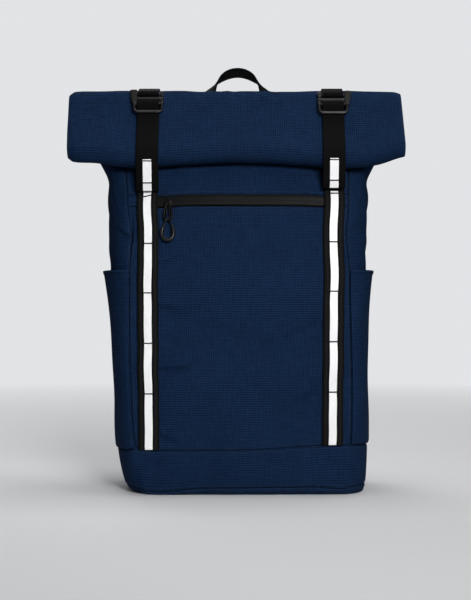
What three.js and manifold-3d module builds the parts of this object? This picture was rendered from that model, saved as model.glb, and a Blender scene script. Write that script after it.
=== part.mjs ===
// A roll-top backpack standing on its base, in millimetres.
// The front faces -Y, +X is to the right of someone who looks at the front, and +Z is up.
// Every fabric wall is cut from one body surface, so panels meet at their seams with a small gap.

import * as THREE from 'three';
import Module from 'manifold-3d';
import { mergeVertices } from 'three/addons/utils/BufferGeometryUtils.js';

const wasm = await Module();
wasm.setup();

// Cloth and webbing
const FABRIC = 1.8;             // wall of the coated canvas
const PAD = 8;                  // foam back panel
const GAP = 0.4;                // clearance between sewn pieces
const WEBBING = 1.5;            // thickness of the straps
const WEBBING_WIDTH = 25;
const DAISY_WIDTH = 24;
const TAPE_WIDTH = 9.5;         // reflective tape
const TAPE = 0.6;

// Heights of the seams
const FLOOR_SEAM_Z = 7.5;       // bottom panel to base band
const BASE_SEAM_Z = 51;         // base band to body
const ZIP_LOW_Z = 328.5;
const ZIP_HIGH_Z = 341.5;
const BACK_PAD_Z = 349;         // top of the padded back
const NECK_Z = 412;             // where the tube is flat and the roll begins
const SIDE_SHORT = 2;           // the sides stop this far below the neck, under the ends of the roll

// The body, one row for each height: how far it leans sideways, the half widths at the
// front seams, at the widest point and at the back, and the depth of the front and back walls.
const SECTIONS = [
  { z: 0, lean: 9, frontHalf: 111, sideHalf: 134.5, backHalf: 128, front: -118, back: -6 },
  { z: 7.5, lean: 6, frontHalf: 115, sideHalf: 139.5, backHalf: 134, front: -125, back: -2 },
  { z: 51, lean: 2.6, frontHalf: 122, sideHalf: 144.8, backHalf: 142, front: -131, back: 0 },
  { z: 124, lean: 0.6, frontHalf: 125, sideHalf: 146, backHalf: 144, front: -134, back: 0 },
  { z: 204, lean: -1.3, frontHalf: 125, sideHalf: 147, backHalf: 145, front: -133, back: 0 },
  { z: 284, lean: -2.8, frontHalf: 125, sideHalf: 150, backHalf: 147, front: -125, back: 0 },
  { z: 334, lean: -2.8, frontHalf: 125, sideHalf: 152, backHalf: 148, front: -115, back: 0 },
  { z: 360, lean: -2.8, frontHalf: 126, sideHalf: 153.5, backHalf: 150, front: -106, back: -7 },
  { z: 382, lean: -3, frontHalf: 131, sideHalf: 161, backHalf: 157, front: -92, back: -26 },
  { z: 402, lean: -4, frontHalf: 150, sideHalf: 176, backHalf: 172, front: -74, back: -46 },
  { z: 416, lean: -5, frontHalf: 168, sideHalf: 186, backHalf: 182, front: -66, back: -53 },
];
const FRONT_CROWN = 4;          // how far the front wall bows out between its seams
const BACK_CROWN = 2;
const FRONT_CORNER = 0.1;       // share of the depth in which a side turns back from the front seam
const SIDE_BELLY = 0.55;

// Dents pressed into the body: where round the section, height, half length, half height, depth.
const DENTS = [
  { u: 0.2, z: 204, du: 0.07, dz: 9, depth: 1.4 },
  { u: 0.2, z: 140, du: 0.08, dz: 10, depth: 1.6 },
  { u: 0.8, z: 254, du: 0.08, dz: 12, depth: 1.4 },
  { u: 0.74, z: 170, du: 0.09, dz: 14, depth: 1.5 },
  { u: 1.28, z: 304, du: 0.22, dz: 14, depth: 3 },
  { u: 1.5, z: 362, du: 0.35, dz: 14, depth: 3 },
  { u: 3.72, z: 300, du: 0.22, dz: 14, depth: 3 },
  { u: 3.5, z: 362, du: 0.35, dz: 14, depth: 3 },
  { u: 0.08, z: 36, du: 0.1, dz: 8, depth: 1.6 },
];

// The bottom panel: the middle that its rings close in on, and how wide they are inside it.
const FLOOR_MIDDLE_Y = -62;
const FLOOR_RINGS = { middle: 0.5, inside: 0.94, turnUp: 0.965, turnUpRise: 1.6 };

// Side pockets
const POCKET_Z = 255;           // hem
const POCKET_GAPE = 7;          // how far the hem stands off the side in its middle
const POCKET_FLARE = 4;         // how late the pocket begins to stand off
const POCKET_INSET = 0.02;      // its side edges, in from the seams of the side panel

// The rolled top: the flattened tube leans back and is rolled towards the front.
const ROLL_WALL = 3;            // two layers of fabric
const ROLL_TILT = THREE.MathUtils.degToRad(24);
const ROLL_CENTRE = { y: -93, z: 420.5 };
const ROLL_TOP_H = 29.5;        // from the middle up to the centre of the top fold
const ROLL_LOW_H = 34.5;        // and down to that of the bottom fold
const ROLL_LAYERS = [-16, 16, -11, 11, -6, 6];   // offset of each successive layer of the roll
const ROLL_LAST_SHARE = 0.6;    // the loose end stops before the bottom fold
const ROLL_ENTRY = 0.66;        // turn at which the tube runs into the top fold
const ROLL_START = 1.1;         // the roll's edge above the top of the back yoke
// The roll along its length: place, slant of an end, lift of the lower edge, drop of the upper
// edge, thickness.
const ROLL_STATIONS = [
  { x: -198, slant: 0, lift: 6, drop: 3.2, thick: 0.8 },
  { x: -192, slant: 0, lift: 3.4, drop: 0.6, thick: 0.93 },
  { x: -165, slant: 0, lift: 2.4, drop: 0, thick: 0.98 },
  { x: -118, slant: 0, lift: -3.9, drop: 0, thick: 1 },
  { x: -60, slant: 0, lift: 0.5, drop: 0.5, thick: 1 },
  { x: 0, slant: 0, lift: 3, drop: 0.8, thick: 1 },
  { x: 60, slant: 0, lift: 0.5, drop: 0.4, thick: 1 },
  { x: 115, slant: 0, lift: -4.4, drop: 0, thick: 1 },
  { x: 155, slant: -0.01, lift: -0.3, drop: 0, thick: 0.98 },
  { x: 180, slant: -0.03, lift: 8, drop: 0.3, thick: 0.92 },
  { x: 187, slant: -0.036, lift: 9, drop: 1.4, thick: 0.84 },
];

// Front straps and their hooks
const STRAP_TOP_X = 106;        // half spacing of the straps at the roll
const STRAP_FOOT_X = 103;       // and at the base
const STRAP_ASIDE = 0.3;        // both straps stand this far to the right
const DAISY_TOP_Z = 351;
const TAIL_END_Z = 345;
const RIGHT_TAIL_SHORT = 3.4;   // the right tail ends this much higher
const PATCH_TOP_Z = 380;
const HOOK_H = 21.6;            // hook's place up the roll from its middle
const HOOK_LIFT = 22.5;         // its mid plane in front of the roll's middle
const HOOK_PLATE = 2.6;
const HOOK_BEVEL = 0.5;
const HOOK_BAIL_LIFT = 1.8;     // the lower loop stands in front of the plate
const HOOK_BAR_H = 9.8;         // upper bar, caught by the loop from the back
const LOOP_LEAVE = THREE.MathUtils.degToRad(40); // where that loop leaves the top of the roll
const HOOK_THIRD_H = -2.9;      // bar that the strap turns round
const HOOK_TURN = 3.2;
// The bars of the hook's plate, from its lug towards its open side and up from its middle.
const HOOK_BARS = [
  { bar: 'lug', x0: -21.4, x1: -13.1, h0: -5.6, h1: 15.4 },
  { bar: 'upper', x0: -13.8, x1: 18, h0: 8.3, h1: 11.3 },
  { bar: 'nose', x0: 13.4, x1: 18.2, h0: 6.7, h1: 13.2 },
  { bar: 'middle', x0: -13.8, x1: 17.6, h0: 1.5, h1: 5.1 },
  { bar: 'post', x0: 13.4, x1: 17.6, h0: -4.6, h1: 5.1 },
  { bar: 'third', x0: -13.8, x1: 17.6, h0: -4.6, h1: -1.3 },
];
const HOOK_BAIL = { x0: -17.4, x1: 17.3, h0: -16.8, h1: -2, bar: 3.2, corner: 3.6 };

// The strap's tail hangs free below the roll, a little in front of the daisy chain.
const TAIL_BREAK_Z = 386;
const TAIL_BREAK_Y = -128.8;
const TAIL_END_Y = -119.6;

// Zip
const ZIP_TAPE_WALL = 1.4;
const SLIDER_X = -82;
const SLIDER_Z = 331;
const SLIDER = { width: 8.8, height: 10.8, depth: 2.6, corner: 2 };
const BRIDGE = { length: 8, rise: 4.2, foot: 2, wire: 0.9 };
const PULL_WIRE = 0.85;
const PULL_LIFT = 4;            // the pull hangs this far in front of the zip
const RING_HALF = 4.7;
const RING_LENGTH = 20;
const LOOP_HALF = 8.2;
const LOOP_LENGTH = 25.5;
const LOOP_LINK = 2.5;          // how far the loop reaches up into the ring
const LOOP_CROSS = 2;           // how far its two sides part to pass round the ring's wire
const LOOP_THIN = 0.8;
const LOOP_GRIP = 1.6;
const GRIP_FROM = 8;            // the thick grip begins between these distances down the loop
const GRIP_FULL = 11;

// Handle and shoulder straps
const HANDLE_X = -3.1;
const HANDLE_HALF = 46;
const HANDLE_SPLAY = 7;         // its feet stand wider apart
const HANDLE_FOOT_Z = 388;
const HANDLE_TOP_Z = 498.9;
const HANDLE_TOP_Y = -36;
const HANDLE_LEG_Y = -44;
const HANDLE_LEG_DROP = 56;     // where the legs end, below the top
const HANDLE_BEND_IN = 26;      // how far the corners lie in from the legs
const HANDLE_BEND_DROP = 12.8;  // and below the top
const HANDLE_CROWN = 5.4;       // from the top edge of the tilted webbing to its middle
const HANDLE_WALL = 2;
const HANDLE_TILT = THREE.MathUtils.degToRad(15.6);
const HANDLE_TWIST = { from: 0.17, to: 0.5 };
const SHOULDER_WIDTH = 62;
const SHOULDER_PAD = 9;
const SHOULDER_TAPER = { from: 0.75, by: 0.35 };
const SHOULDER_EDGE = { across: 0.9, face: 0.4 };
const SHOULDER_LINE = [
  { x: 48, y: 8, z: 340 },
  { x: 56, y: 24, z: 300 },
  { x: 74, y: 36, z: 234 },
  { x: 90, y: 34, z: 169 },
  { x: 99, y: 24, z: 122 },
];
const ADJUSTER_DROP = 11.5;
const ADJUSTER = { width: 34, height: 22, depth: 3.6, corner: 2, slot: 26.8, slotHeight: 6, slotAt: 5 };
const ADJUSTER_TURN = 3.9;
const ANCHOR_X = 124;
const ANCHOR_Z = 60;
// The free end of the webbing: distance below the adjuster's middle, and out from the strap's turn.
const FREE_END = [
  { down: 8, out: 0 },
  { down: 20, out: 1 },
  { down: 46, out: 3 },
];

const NAVY = { color: 0x1a3157, roughness: 0.85, metalness: 0 };
const BLACK = { color: 0x151515, roughness: 0.8, metalness: 0 };
const WHITE = { color: 0xe8e8e8, roughness: 0.45, metalness: 0 };
const GUNMETAL = { color: 0x44454a, roughness: 0.4, metalness: 0.9 };
const PLASTIC = { color: 0x1b1b1c, roughness: 0.45, metalness: 0 };

const bag = new THREE.Group();

function addPiece(name, geometry, finish) {
  const mesh = new THREE.Mesh(geometry, new THREE.MeshStandardMaterial(finish));
  mesh.name = name;
  bag.add(mesh);
  return mesh;
}

// Builders of closed solids

// Turns triangles round if they enclose a negative volume, and keeps only their positions.
function closedGeometry(points, triangles) {
  let volume = 0;
  for (const [a, b, c] of triangles) {
    volume += points[a].dot(new THREE.Vector3().crossVectors(points[b], points[c]));
  }
  const index = triangles.flatMap(([a, b, c]) => (volume < 0 ? [a, c, b] : [a, b, c]));
  const geometry = new THREE.BufferGeometry().setFromPoints(points);
  geometry.setIndex(index);
  return geometry;
}

// A wall between two matching grids of points, closed along its four edges.
function slab(outer, inner) {
  const rows = outer.length;
  const columns = outer[0].length;
  const points = [...outer.flat(), ...inner.flat()];
  const out = (i, j) => i * columns + j;
  const back = (i, j) => rows * columns + i * columns + j;
  const triangles = [];
  const quad = (a, b, c, d) => triangles.push([a, b, c], [a, c, d]);
  for (let i = 0; i < rows - 1; i++) {
    for (let j = 0; j < columns - 1; j++) {
      quad(out(i, j), out(i, j + 1), out(i + 1, j + 1), out(i + 1, j));
      quad(back(i, j), back(i + 1, j), back(i + 1, j + 1), back(i, j + 1));
    }
  }
  for (let j = 0; j < columns - 1; j++) {
    quad(out(0, j + 1), out(0, j), back(0, j), back(0, j + 1));
    quad(out(rows - 1, j), out(rows - 1, j + 1), back(rows - 1, j + 1), back(rows - 1, j));
  }
  for (let i = 0; i < rows - 1; i++) {
    quad(out(i, 0), out(i + 1, 0), back(i + 1, 0), back(i, 0));
    quad(out(i + 1, columns - 1), out(i, columns - 1), back(i, columns - 1), back(i + 1, columns - 1));
  }
  return closedGeometry(points, triangles);
}

// A skin through closed rings of equal length. It is capped at both ends, or runs round to its start.
function loft(rings, endless = false) {
  const size = rings[0].length;
  const points = rings.flat();
  const triangles = [];
  const spans = endless ? rings.length : rings.length - 1;
  for (let i = 0; i < spans; i++) {
    const next = (i + 1) % rings.length;
    for (let j = 0; j < size; j++) {
      const a = i * size + j;
      const b = i * size + ((j + 1) % size);
      const c = next * size + ((j + 1) % size);
      const d = next * size + j;
      triangles.push([a, b, c], [a, c, d]);
    }
  }
  if (!endless) {
    for (const [ring, forward] of [[0, false], [rings.length - 1, true]]) {
      const centre = new THREE.Vector3();
      rings[ring].forEach((p) => centre.addScaledVector(p, 1 / size));
      points.push(centre);
      for (let j = 0; j < size; j++) {
        const a = ring * size + j;
        const b = ring * size + ((j + 1) % size);
        triangles.push(forward ? [a, b, points.length - 1] : [b, a, points.length - 1]);
      }
    }
  }
  return closedGeometry(points, triangles);
}

// A flat strap along a path. Each step gives a centre, the way the width runs and the way the face looks.
function ribbon(steps, width, thickness) {
  return loft(steps.map(({ centre, across, face }) => [[-1, -1], [1, -1], [1, 1], [-1, 1]].map(
    ([s, t]) => centre.clone()
      .addScaledVector(across, (s * width) / 2)
      .addScaledVector(face, (t * thickness) / 2),
  )));
}

function solidOf(geometry) {
  const bare = geometry.clone();
  bare.deleteAttribute('normal');
  bare.deleteAttribute('uv');
  const merged = mergeVertices(bare, 1e-3);
  return new wasm.Manifold(new wasm.Mesh({
    numProp: 3,
    vertProperties: new Float32Array(merged.attributes.position.array),
    triVerts: new Uint32Array(merged.index.array),
  }));
}

function joined(...geometries) {
  const mesh = geometries.map(solidOf).reduce((a, b) => a.add(b)).getMesh();
  const geometry = new THREE.BufferGeometry();
  geometry.setAttribute('position', new THREE.BufferAttribute(mesh.vertProperties, 3));
  geometry.setIndex(new THREE.BufferAttribute(mesh.triVerts, 1));
  return geometry;
}

function steps(from, to, count) {
  return Array.from({ length: count + 1 }, (_, i) => from + ((to - from) * i) / count);
}

// The way a line runs at one of its points.
function alongAt(line, i) {
  const next = line[Math.min(i + 1, line.length - 1)];
  const last = line[Math.max(i - 1, 0)];
  return next.clone().sub(last).normalize();
}

// Corners of a block with rounded or cut corners.
function blockCorners({ x0, x1, h0, h1 }, corner, arcSteps = 1) {
  const centres = [
    [x1 - corner, h1 - corner],
    [x0 + corner, h1 - corner],
    [x0 + corner, h0 + corner],
    [x1 - corner, h0 + corner],
  ];
  return centres.flatMap(([x, h], i) => steps(0, Math.PI / 2, arcSteps).map((turn) => {
    const angle = turn + (i * Math.PI) / 2;
    return new THREE.Vector2(x + corner * Math.cos(angle), h + corner * Math.sin(angle));
  }));
}

const blockAbout = (width, height, h = 0) => (
  { x0: -width / 2, x1: width / 2, h0: h - height / 2, h1: h + height / 2 }
);

// The body surface

// A row's value at any place between the table's rows, along a smooth curve through them.
function between(table, key, column, at) {
  const last = table.length - 1;
  let i = table.findIndex((row) => row[key] > at) - 1;
  if (i === -2) i = last - 1;
  i = Math.max(i, 0);
  const slope = (k) => {
    const a = table[Math.max(k - 1, 0)];
    const b = table[Math.min(k + 1, last)];
    return (b[column] - a[column]) / (b[key] - a[key]);
  };
  const span = table[i + 1][key] - table[i][key];
  const t = THREE.MathUtils.clamp((at - table[i][key]) / span, 0, 1);
  const start = table[i][column];
  const rise = table[i + 1][column] - start;
  const leave = slope(i) * span - rise;
  const arrive = slope(i + 1) * span - rise;
  return start + rise * t + t * (1 - t) * ((1 - t) * leave - t * arrive);
}

function sectionAt(z) {
  const section = {};
  for (const column of ['lean', 'frontHalf', 'sideHalf', 'backHalf', 'front', 'back']) {
    section[column] = between(SECTIONS, 'z', column, z);
  }
  return section;
}

// A side wall from the front seam round to the back seam, as a cubic curve whose belly is sideHalf wide.
function sidePoint(section, t) {
  const { frontHalf, sideHalf, backHalf, front, back } = section;
  const belly = (sideHalf - (frontHalf + backHalf) / 8) / 0.75;
  const depth = back - front;
  const weights = [(1 - t) ** 3, 3 * t * (1 - t) ** 2, 3 * t * t * (1 - t), t ** 3];
  const x = [frontHalf, belly, belly, backHalf];
  const y = [front, front + FRONT_CORNER * depth, front + SIDE_BELLY * depth, back];
  const sum = (values) => values.reduce((total, value, i) => total + value * weights[i], 0);
  return [sum(x), sum(y)];
}

// Outline of the section at height z. u runs 0 to 1 along the front from left to right,
// 1 to 2 along the right side, 2 to 3 along the back and 3 to 4 along the left side.
function outline(u, z) {
  const section = sectionAt(z);
  const around = ((u % 4) + 4) % 4;
  const side = Math.floor(around);
  const t = around - side;
  const s = 2 * t - 1;
  const bow = 1 - s * s;
  if (side === 0) {
    const x = section.lean + s * section.frontHalf;
    return new THREE.Vector3(x, section.front - FRONT_CROWN * bow, z);
  }
  if (side === 2) {
    const x = section.lean - s * section.backHalf;
    return new THREE.Vector3(x, section.back + BACK_CROWN * bow, z);
  }
  const [x, y] = sidePoint(section, side === 1 ? t : 1 - t);
  return new THREE.Vector3(section.lean + (side === 1 ? x : -x), y, z);
}

const PROBE_U = 0.015;
const PROBE_Z = 2;

function outward(u, z) {
  const low = Math.max(z - PROBE_Z, 0);
  const around = outline(u + PROBE_U, z).sub(outline(u - PROBE_U, z));
  const up = outline(u, z + PROBE_Z).sub(outline(u, low));
  return around.cross(up).normalize();
}

function dentAt(u, z) {
  return DENTS.reduce((sum, dent) => {
    const reach = ((u - dent.u) / dent.du) ** 2 + ((z - dent.z) / dent.dz) ** 2;
    return sum + dent.depth * Math.exp(-2 * reach);
  }, 0);
}

// A point of the cloth, moved out from the body surface by the given distance.
function cloth(u, z, out = 0) {
  return outline(u, z).addScaledVector(outward(u, z), out - dentAt(u, z));
}

// Heights at which every panel has a row, so that neighbours share their facets along a seam.
const ROWS = [
  74, 99, 124, 140, 156, 172, 188, 204, 230, 254, 269, 284, 301, 316, 335, 349, 360, 371, 382, 392, 402,
];
const heightsIn = (z0, z1) => [z0, ...ROWS.filter((z) => z > z0 + 1 && z < z1 - 1), z1];

// A panel of the body between two places round it and two heights.
function panel(name, [u0, u1], columns, [z0, z1], wall, finish) {
  const heights = heightsIn(z0, z1);
  const around = steps(u0, u1, columns);
  const grid = (out) => heights.map((z) => around.map((u) => cloth(u, z, out)));
  addPiece(name, slab(grid(0), grid(-wall)), finish);
}

const SEAM_U = 0.0012;          // half the gap at an upright seam
const FRONT_U = [SEAM_U, 1 - SEAM_U];
const RIGHT_U = [1 + SEAM_U * 2, 2 - SEAM_U * 2];
const BACK_U = [2 + SEAM_U, 3 - SEAM_U];
const LEFT_U = [3 + SEAM_U * 2, 4 - SEAM_U * 2];

// Base: a bottom panel turned up to its seam, and a band round the bag
function makeBase() {
  const around = steps(0, 4, 48).slice(0, -1);
  const ring = (z, out) => around.map((u) => cloth(u, z, out));
  const bandLow = FLOOR_SEAM_Z + GAP / 2;
  const bandHigh = BASE_SEAM_Z - GAP / 2;
  const bandHeights = steps(bandLow, bandHigh, 2);
  addPiece('base_band', loft([
    ...bandHeights.map((z) => ring(z, 0)),
    ...[...bandHeights].reverse().map((z) => ring(z, -FABRIC)),
  ], true), NAVY);

  const flat = (z, share) => around.map((u) => {
    const p = outline(u, 0);
    return new THREE.Vector3(p.x * share, THREE.MathUtils.lerp(FLOOR_MIDDLE_Y, p.y, share), z);
  });
  const rim = FLOOR_SEAM_Z - GAP / 2;
  const { middle, inside, turnUp, turnUpRise } = FLOOR_RINGS;
  addPiece('base_floor', loft([
    flat(0, middle), flat(0, 1), ring(rim / 2, 0), ring(rim, 0),
    ring(rim, -FABRIC), flat(FABRIC * turnUpRise, turnUp), flat(FABRIC, inside), flat(FABRIC, middle),
  ]), NAVY);
}

function makeBody() {
  const low = BASE_SEAM_Z + GAP / 2;
  panel('front_panel', FRONT_U, 12, [low, ZIP_LOW_Z - GAP / 2], FABRIC, NAVY);
  panel('front_yoke', FRONT_U, 10, [ZIP_HIGH_Z + GAP / 2, NECK_Z], FABRIC, NAVY);
  panel('side_panel_right', RIGHT_U, 8, [low, NECK_Z - SIDE_SHORT], FABRIC, NAVY);
  panel('side_panel_left', LEFT_U, 8, [low, NECK_Z - SIDE_SHORT], FABRIC, NAVY);
  panel('back_panel', BACK_U, 6, [low, BACK_PAD_Z - GAP / 2], PAD, NAVY);
  panel('back_yoke', BACK_U, 8, [BACK_PAD_Z + GAP / 2, NECK_Z], FABRIC, NAVY);
}

// Side pockets gape a little at the hem and are sewn down on their other three edges.
function makePocket(name, [u0, u1]) {
  const heights = steps(BASE_SEAM_Z + GAP * 2, POCKET_Z, 8);
  const around = steps(0, 1, 8);
  const grid = (extra) => heights.map((z) => around.map((t) => {
    const rise = ((z - BASE_SEAM_Z) / (POCKET_Z - BASE_SEAM_Z)) ** POCKET_FLARE;
    const u = THREE.MathUtils.lerp(u0 + POCKET_INSET, u1 - POCKET_INSET, t);
    return cloth(u, z, GAP + POCKET_GAPE * rise * Math.sin(Math.PI * t) + extra);
  }));
  addPiece(name, slab(grid(FABRIC), grid(0)), NAVY);
}

// Rolled top

const rollUp = new THREE.Vector3(0, Math.sin(ROLL_TILT), Math.cos(ROLL_TILT));
const rollOut = new THREE.Vector3(0, -Math.cos(ROLL_TILT), Math.sin(ROLL_TILT));

// A point given by its place along the roll, up it and out of it.
function onRoll(x, up, out) {
  return new THREE.Vector3(x, ROLL_CENTRE.y, ROLL_CENTRE.z)
    .addScaledVector(rollUp, up)
    .addScaledVector(rollOut, out);
}

// The roll's line seen from its end: up the back, over the top, and round and round to its loose end.
function rollLine(station) {
  const layers = ROLL_LAYERS.map((layer) => layer * station.thick);
  const topUp = ROLL_TOP_H - station.drop;
  const lowUp = -ROLL_LOW_H + station.lift;
  const line = [];
  for (let i = 0; i < layers.length - 1; i++) {
    const atTop = i % 2 === 0;
    const radius = Math.abs(layers[i + 1] - layers[i]) / 2;
    const middle = (layers[i] + layers[i + 1]) / 2;
    const sign = Math.sign(layers[i + 1] - layers[i]);
    for (const turn of steps(i === 0 ? ROLL_ENTRY : 0, Math.PI, i === 0 ? 8 : 5)) {
      line.push({
        up: (atTop ? topUp : lowUp) + (atTop ? 1 : -1) * radius * Math.sin(turn),
        out: middle - sign * radius * Math.cos(turn),
      });
    }
  }
  const lastOut = layers[layers.length - 1];
  line.push({ up: topUp - (topUp - lowUp) * ROLL_LAST_SHARE, out: lastOut });
  return line;
}

// Where the flattened tube leaves the back yoke.
function rollStart(x) {
  return new THREE.Vector3(x, sectionAt(NECK_Z).back - ROLL_WALL / 2, NECK_Z + ROLL_START);
}

function makeRoll() {
  const grids = [1, -1].map((side) => ROLL_STATIONS.map((station) => {
    const rolled = rollLine(station).map(({ up, out }) => onRoll(station.x + station.slant * up, up, out));
    const line = [rollStart(station.x), ...rolled];
    return line.map((p, i) => {
      const face = new THREE.Vector3(1, 0, 0).cross(alongAt(line, i)).normalize();
      return p.clone().addScaledVector(face, (side * ROLL_WALL) / 2);
    });
  }));
  addPiece('roll_top', slab(grids[0], grids[1]), NAVY);
}

// Front straps

// Where a front strap runs at a height, on the left or the right.
function strapX(side, z) {
  const out = THREE.MathUtils.mapLinear(z, BASE_SEAM_Z, DAISY_TOP_Z, STRAP_FOOT_X, STRAP_TOP_X);
  return STRAP_ASIDE + side * out;
}

function frontU(x, z) {
  const { lean, frontHalf } = sectionAt(z);
  return 0.5 + (x - lean) / (2 * frontHalf);
}

function backU(x, z) {
  const { lean, backHalf } = sectionAt(z);
  return 2.5 - (x - lean) / (2 * backHalf);
}

// Steps of a strap that lies on the cloth, its middle lifted off the cloth by the given distance.
function lyingSteps(heights, place, lift) {
  return heights.map((z) => {
    const u = place(z);
    const across = outline(u + PROBE_U, z).sub(outline(u - PROBE_U, z)).normalize();
    return { centre: cloth(u, z, lift), across, face: outward(u, z) };
  });
}

// Steps of a strap along a line in a plane of constant x.
function hangingSteps(line) {
  return line.map((centre, i) => {
    const across = new THREE.Vector3(1, 0, 0);
    return { centre, across, face: new THREE.Vector3().crossVectors(across, alongAt(line, i)) };
  });
}

const ROLL_FACE = ROLL_LAYERS[1] + ROLL_WALL / 2;
const LOAD_OUT = ROLL_FACE + GAP + WEBBING / 2;
const TAIL_OUT = LOAD_OUT + WEBBING + GAP;
const LOOP_OUT = LOAD_OUT + GAP;
const STRAP_LOW_UP = -ROLL_LOW_H - 5;
const BEHIND_BAIL = HOOK_LIFT + HOOK_BAIL_LIFT - HOOK_PLATE / 2 - GAP * 1.5 - WEBBING / 2;
// The strap's two runs in the hook: distance below the hook's middle, and out of the roll.
const LOAD_ROUTE = [
  { down: 20, out: LOAD_OUT },
  { down: 9, out: LOAD_OUT },
];
const TAIL_ROUTE = [
  { down: 6.5, out: HOOK_LIFT + 1.9 },
  { down: 11, out: BEHIND_BAIL },
  { down: 16.5, out: BEHIND_BAIL - 0.2 },
  { down: 24, out: TAIL_OUT },
];

// Depth of the hanging tail below the roll.
function tailY(z) {
  const share = (TAIL_BREAK_Z - z) / (TAIL_BREAK_Z - TAIL_END_Z);
  return THREE.MathUtils.lerp(TAIL_BREAK_Y, TAIL_END_Y, share * share);
}

function makeFrontStrap(side, suffix) {
  const x = STRAP_ASIDE + side * STRAP_TOP_X;
  const tailEnd = TAIL_END_Z + (side > 0 ? RIGHT_TAIL_SHORT : 0);
  const daisyHeights = heightsIn(BASE_SEAM_Z + GAP, DAISY_TOP_Z);
  const place = (z) => frontU(strapX(side, z), z);
  const daisy = lyingSteps(daisyHeights, place, GAP + WEBBING / 2);
  addPiece(`daisy_webbing_${suffix}`, ribbon(daisy, DAISY_WIDTH, WEBBING), BLACK);
  const tapeHeights = heightsIn(BASE_SEAM_Z + GAP * 2, tailEnd + WEBBING);
  const tape = lyingSteps(tapeHeights, place, GAP + WEBBING + GAP + TAPE / 2);
  addPiece(`reflective_tape_${suffix}`, ribbon(tape, TAPE_WIDTH, TAPE), WHITE);

  const anchor = cloth(place(DAISY_TOP_Z), DAISY_TOP_Z + GAP * 2, GAP + WEBBING / 2);
  anchor.x = x;
  const foldMiddle = (ROLL_LAYERS[1] + ROLL_LAYERS[2]) / 2;
  const foldRadius = LOAD_OUT - foldMiddle;
  const turnUnder = steps(THREE.MathUtils.degToRad(35), 0, 3).map((turn) => onRoll(
    x, STRAP_LOW_UP - foldRadius * Math.sin(turn), foldMiddle + foldRadius * Math.cos(turn),
  ));
  const turnBar = steps(Math.PI, 0, 8).map((turn) => onRoll(
    x, HOOK_H + HOOK_THIRD_H + HOOK_TURN * Math.sin(turn), HOOK_LIFT + HOOK_TURN * Math.cos(turn),
  ));
  const onRoute = ({ down, out }) => onRoll(x, HOOK_H - down, out);
  const hanging = (z) => new THREE.Vector3(x, tailY(z), z);
  const strap = [
    anchor,
    ...turnUnder,
    ...LOAD_ROUTE.map(onRoute),
    ...turnBar,
    ...TAIL_ROUTE.map(onRoute),
    onRoll(x, STRAP_LOW_UP + 2, TAIL_OUT),
    ...steps(TAIL_BREAK_Z, tailEnd, 5).map(hanging),
  ];
  addPiece(`closure_strap_${suffix}`, ribbon(hangingSteps(strap), WEBBING_WIDTH, WEBBING), BLACK);

  const patch = hangingSteps(steps(PATCH_TOP_Z, tailEnd + GAP, 4).map(hanging));
  patch.forEach((step) => step.centre.addScaledVector(step.face, -(WEBBING / 2 + GAP + TAPE / 2)));
  addPiece(`closure_patch_${suffix}`, ribbon(patch, TAPE_WIDTH, TAPE), WHITE);
}

// A flat piece of the given outline, bevelled all round, with its middle at the given lift.
function bevelled(outlinePoints, depth, bevel, lift) {
  const geometry = new THREE.ExtrudeGeometry(new THREE.Shape(outlinePoints), {
    depth: depth - 2 * bevel,
    bevelEnabled: true,
    bevelSize: bevel,
    bevelOffset: -bevel,
    bevelThickness: bevel,
    bevelSegments: 1,
  });
  return geometry.translate(0, 0, lift - depth / 2 + bevel);
}

// Outline of the hook's lower loop, open at its top and rounded at its two lower corners.
function bailOutline() {
  const { bar, corner, ...outer } = HOOK_BAIL;
  const inner = { x0: outer.x0 + bar, x1: outer.x1 - bar, h0: outer.h0 + bar, h1: outer.h1 };
  const lower = (block, radius) => blockCorners(block, radius, 3).slice(8);
  return [
    new THREE.Vector2(inner.x0, inner.h1),
    new THREE.Vector2(outer.x0, outer.h1),
    ...lower(outer, corner),
    new THREE.Vector2(outer.x1, outer.h1),
    new THREE.Vector2(inner.x1, inner.h1),
    ...lower(inner, corner / 2).reverse(),
  ];
}

// Metal hook: a plate with a lug, an open upper bar with a nose, a slot for the strap and a lower loop.
function makeHook(side, suffix) {
  const turned = (points) => points.map((p) => new THREE.Vector2(-side * p.x, p.y));
  const bars = HOOK_BARS.map((bar) => bevelled(
    turned(blockCorners(bar, HOOK_BEVEL)), HOOK_PLATE, HOOK_BEVEL, 0,
  ));
  const bail = bevelled(turned(bailOutline()), HOOK_PLATE, HOOK_BEVEL, HOOK_BAIL_LIFT);
  const seat = new THREE.Matrix4()
    .makeBasis(new THREE.Vector3(1, 0, 0), rollUp, rollOut)
    .setPosition(onRoll(STRAP_ASIDE + side * STRAP_TOP_X, HOOK_H, HOOK_LIFT));
  addPiece(`g_hook_${suffix}`, joined(...bars, bail).applyMatrix4(seat), GUNMETAL);
}

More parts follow.
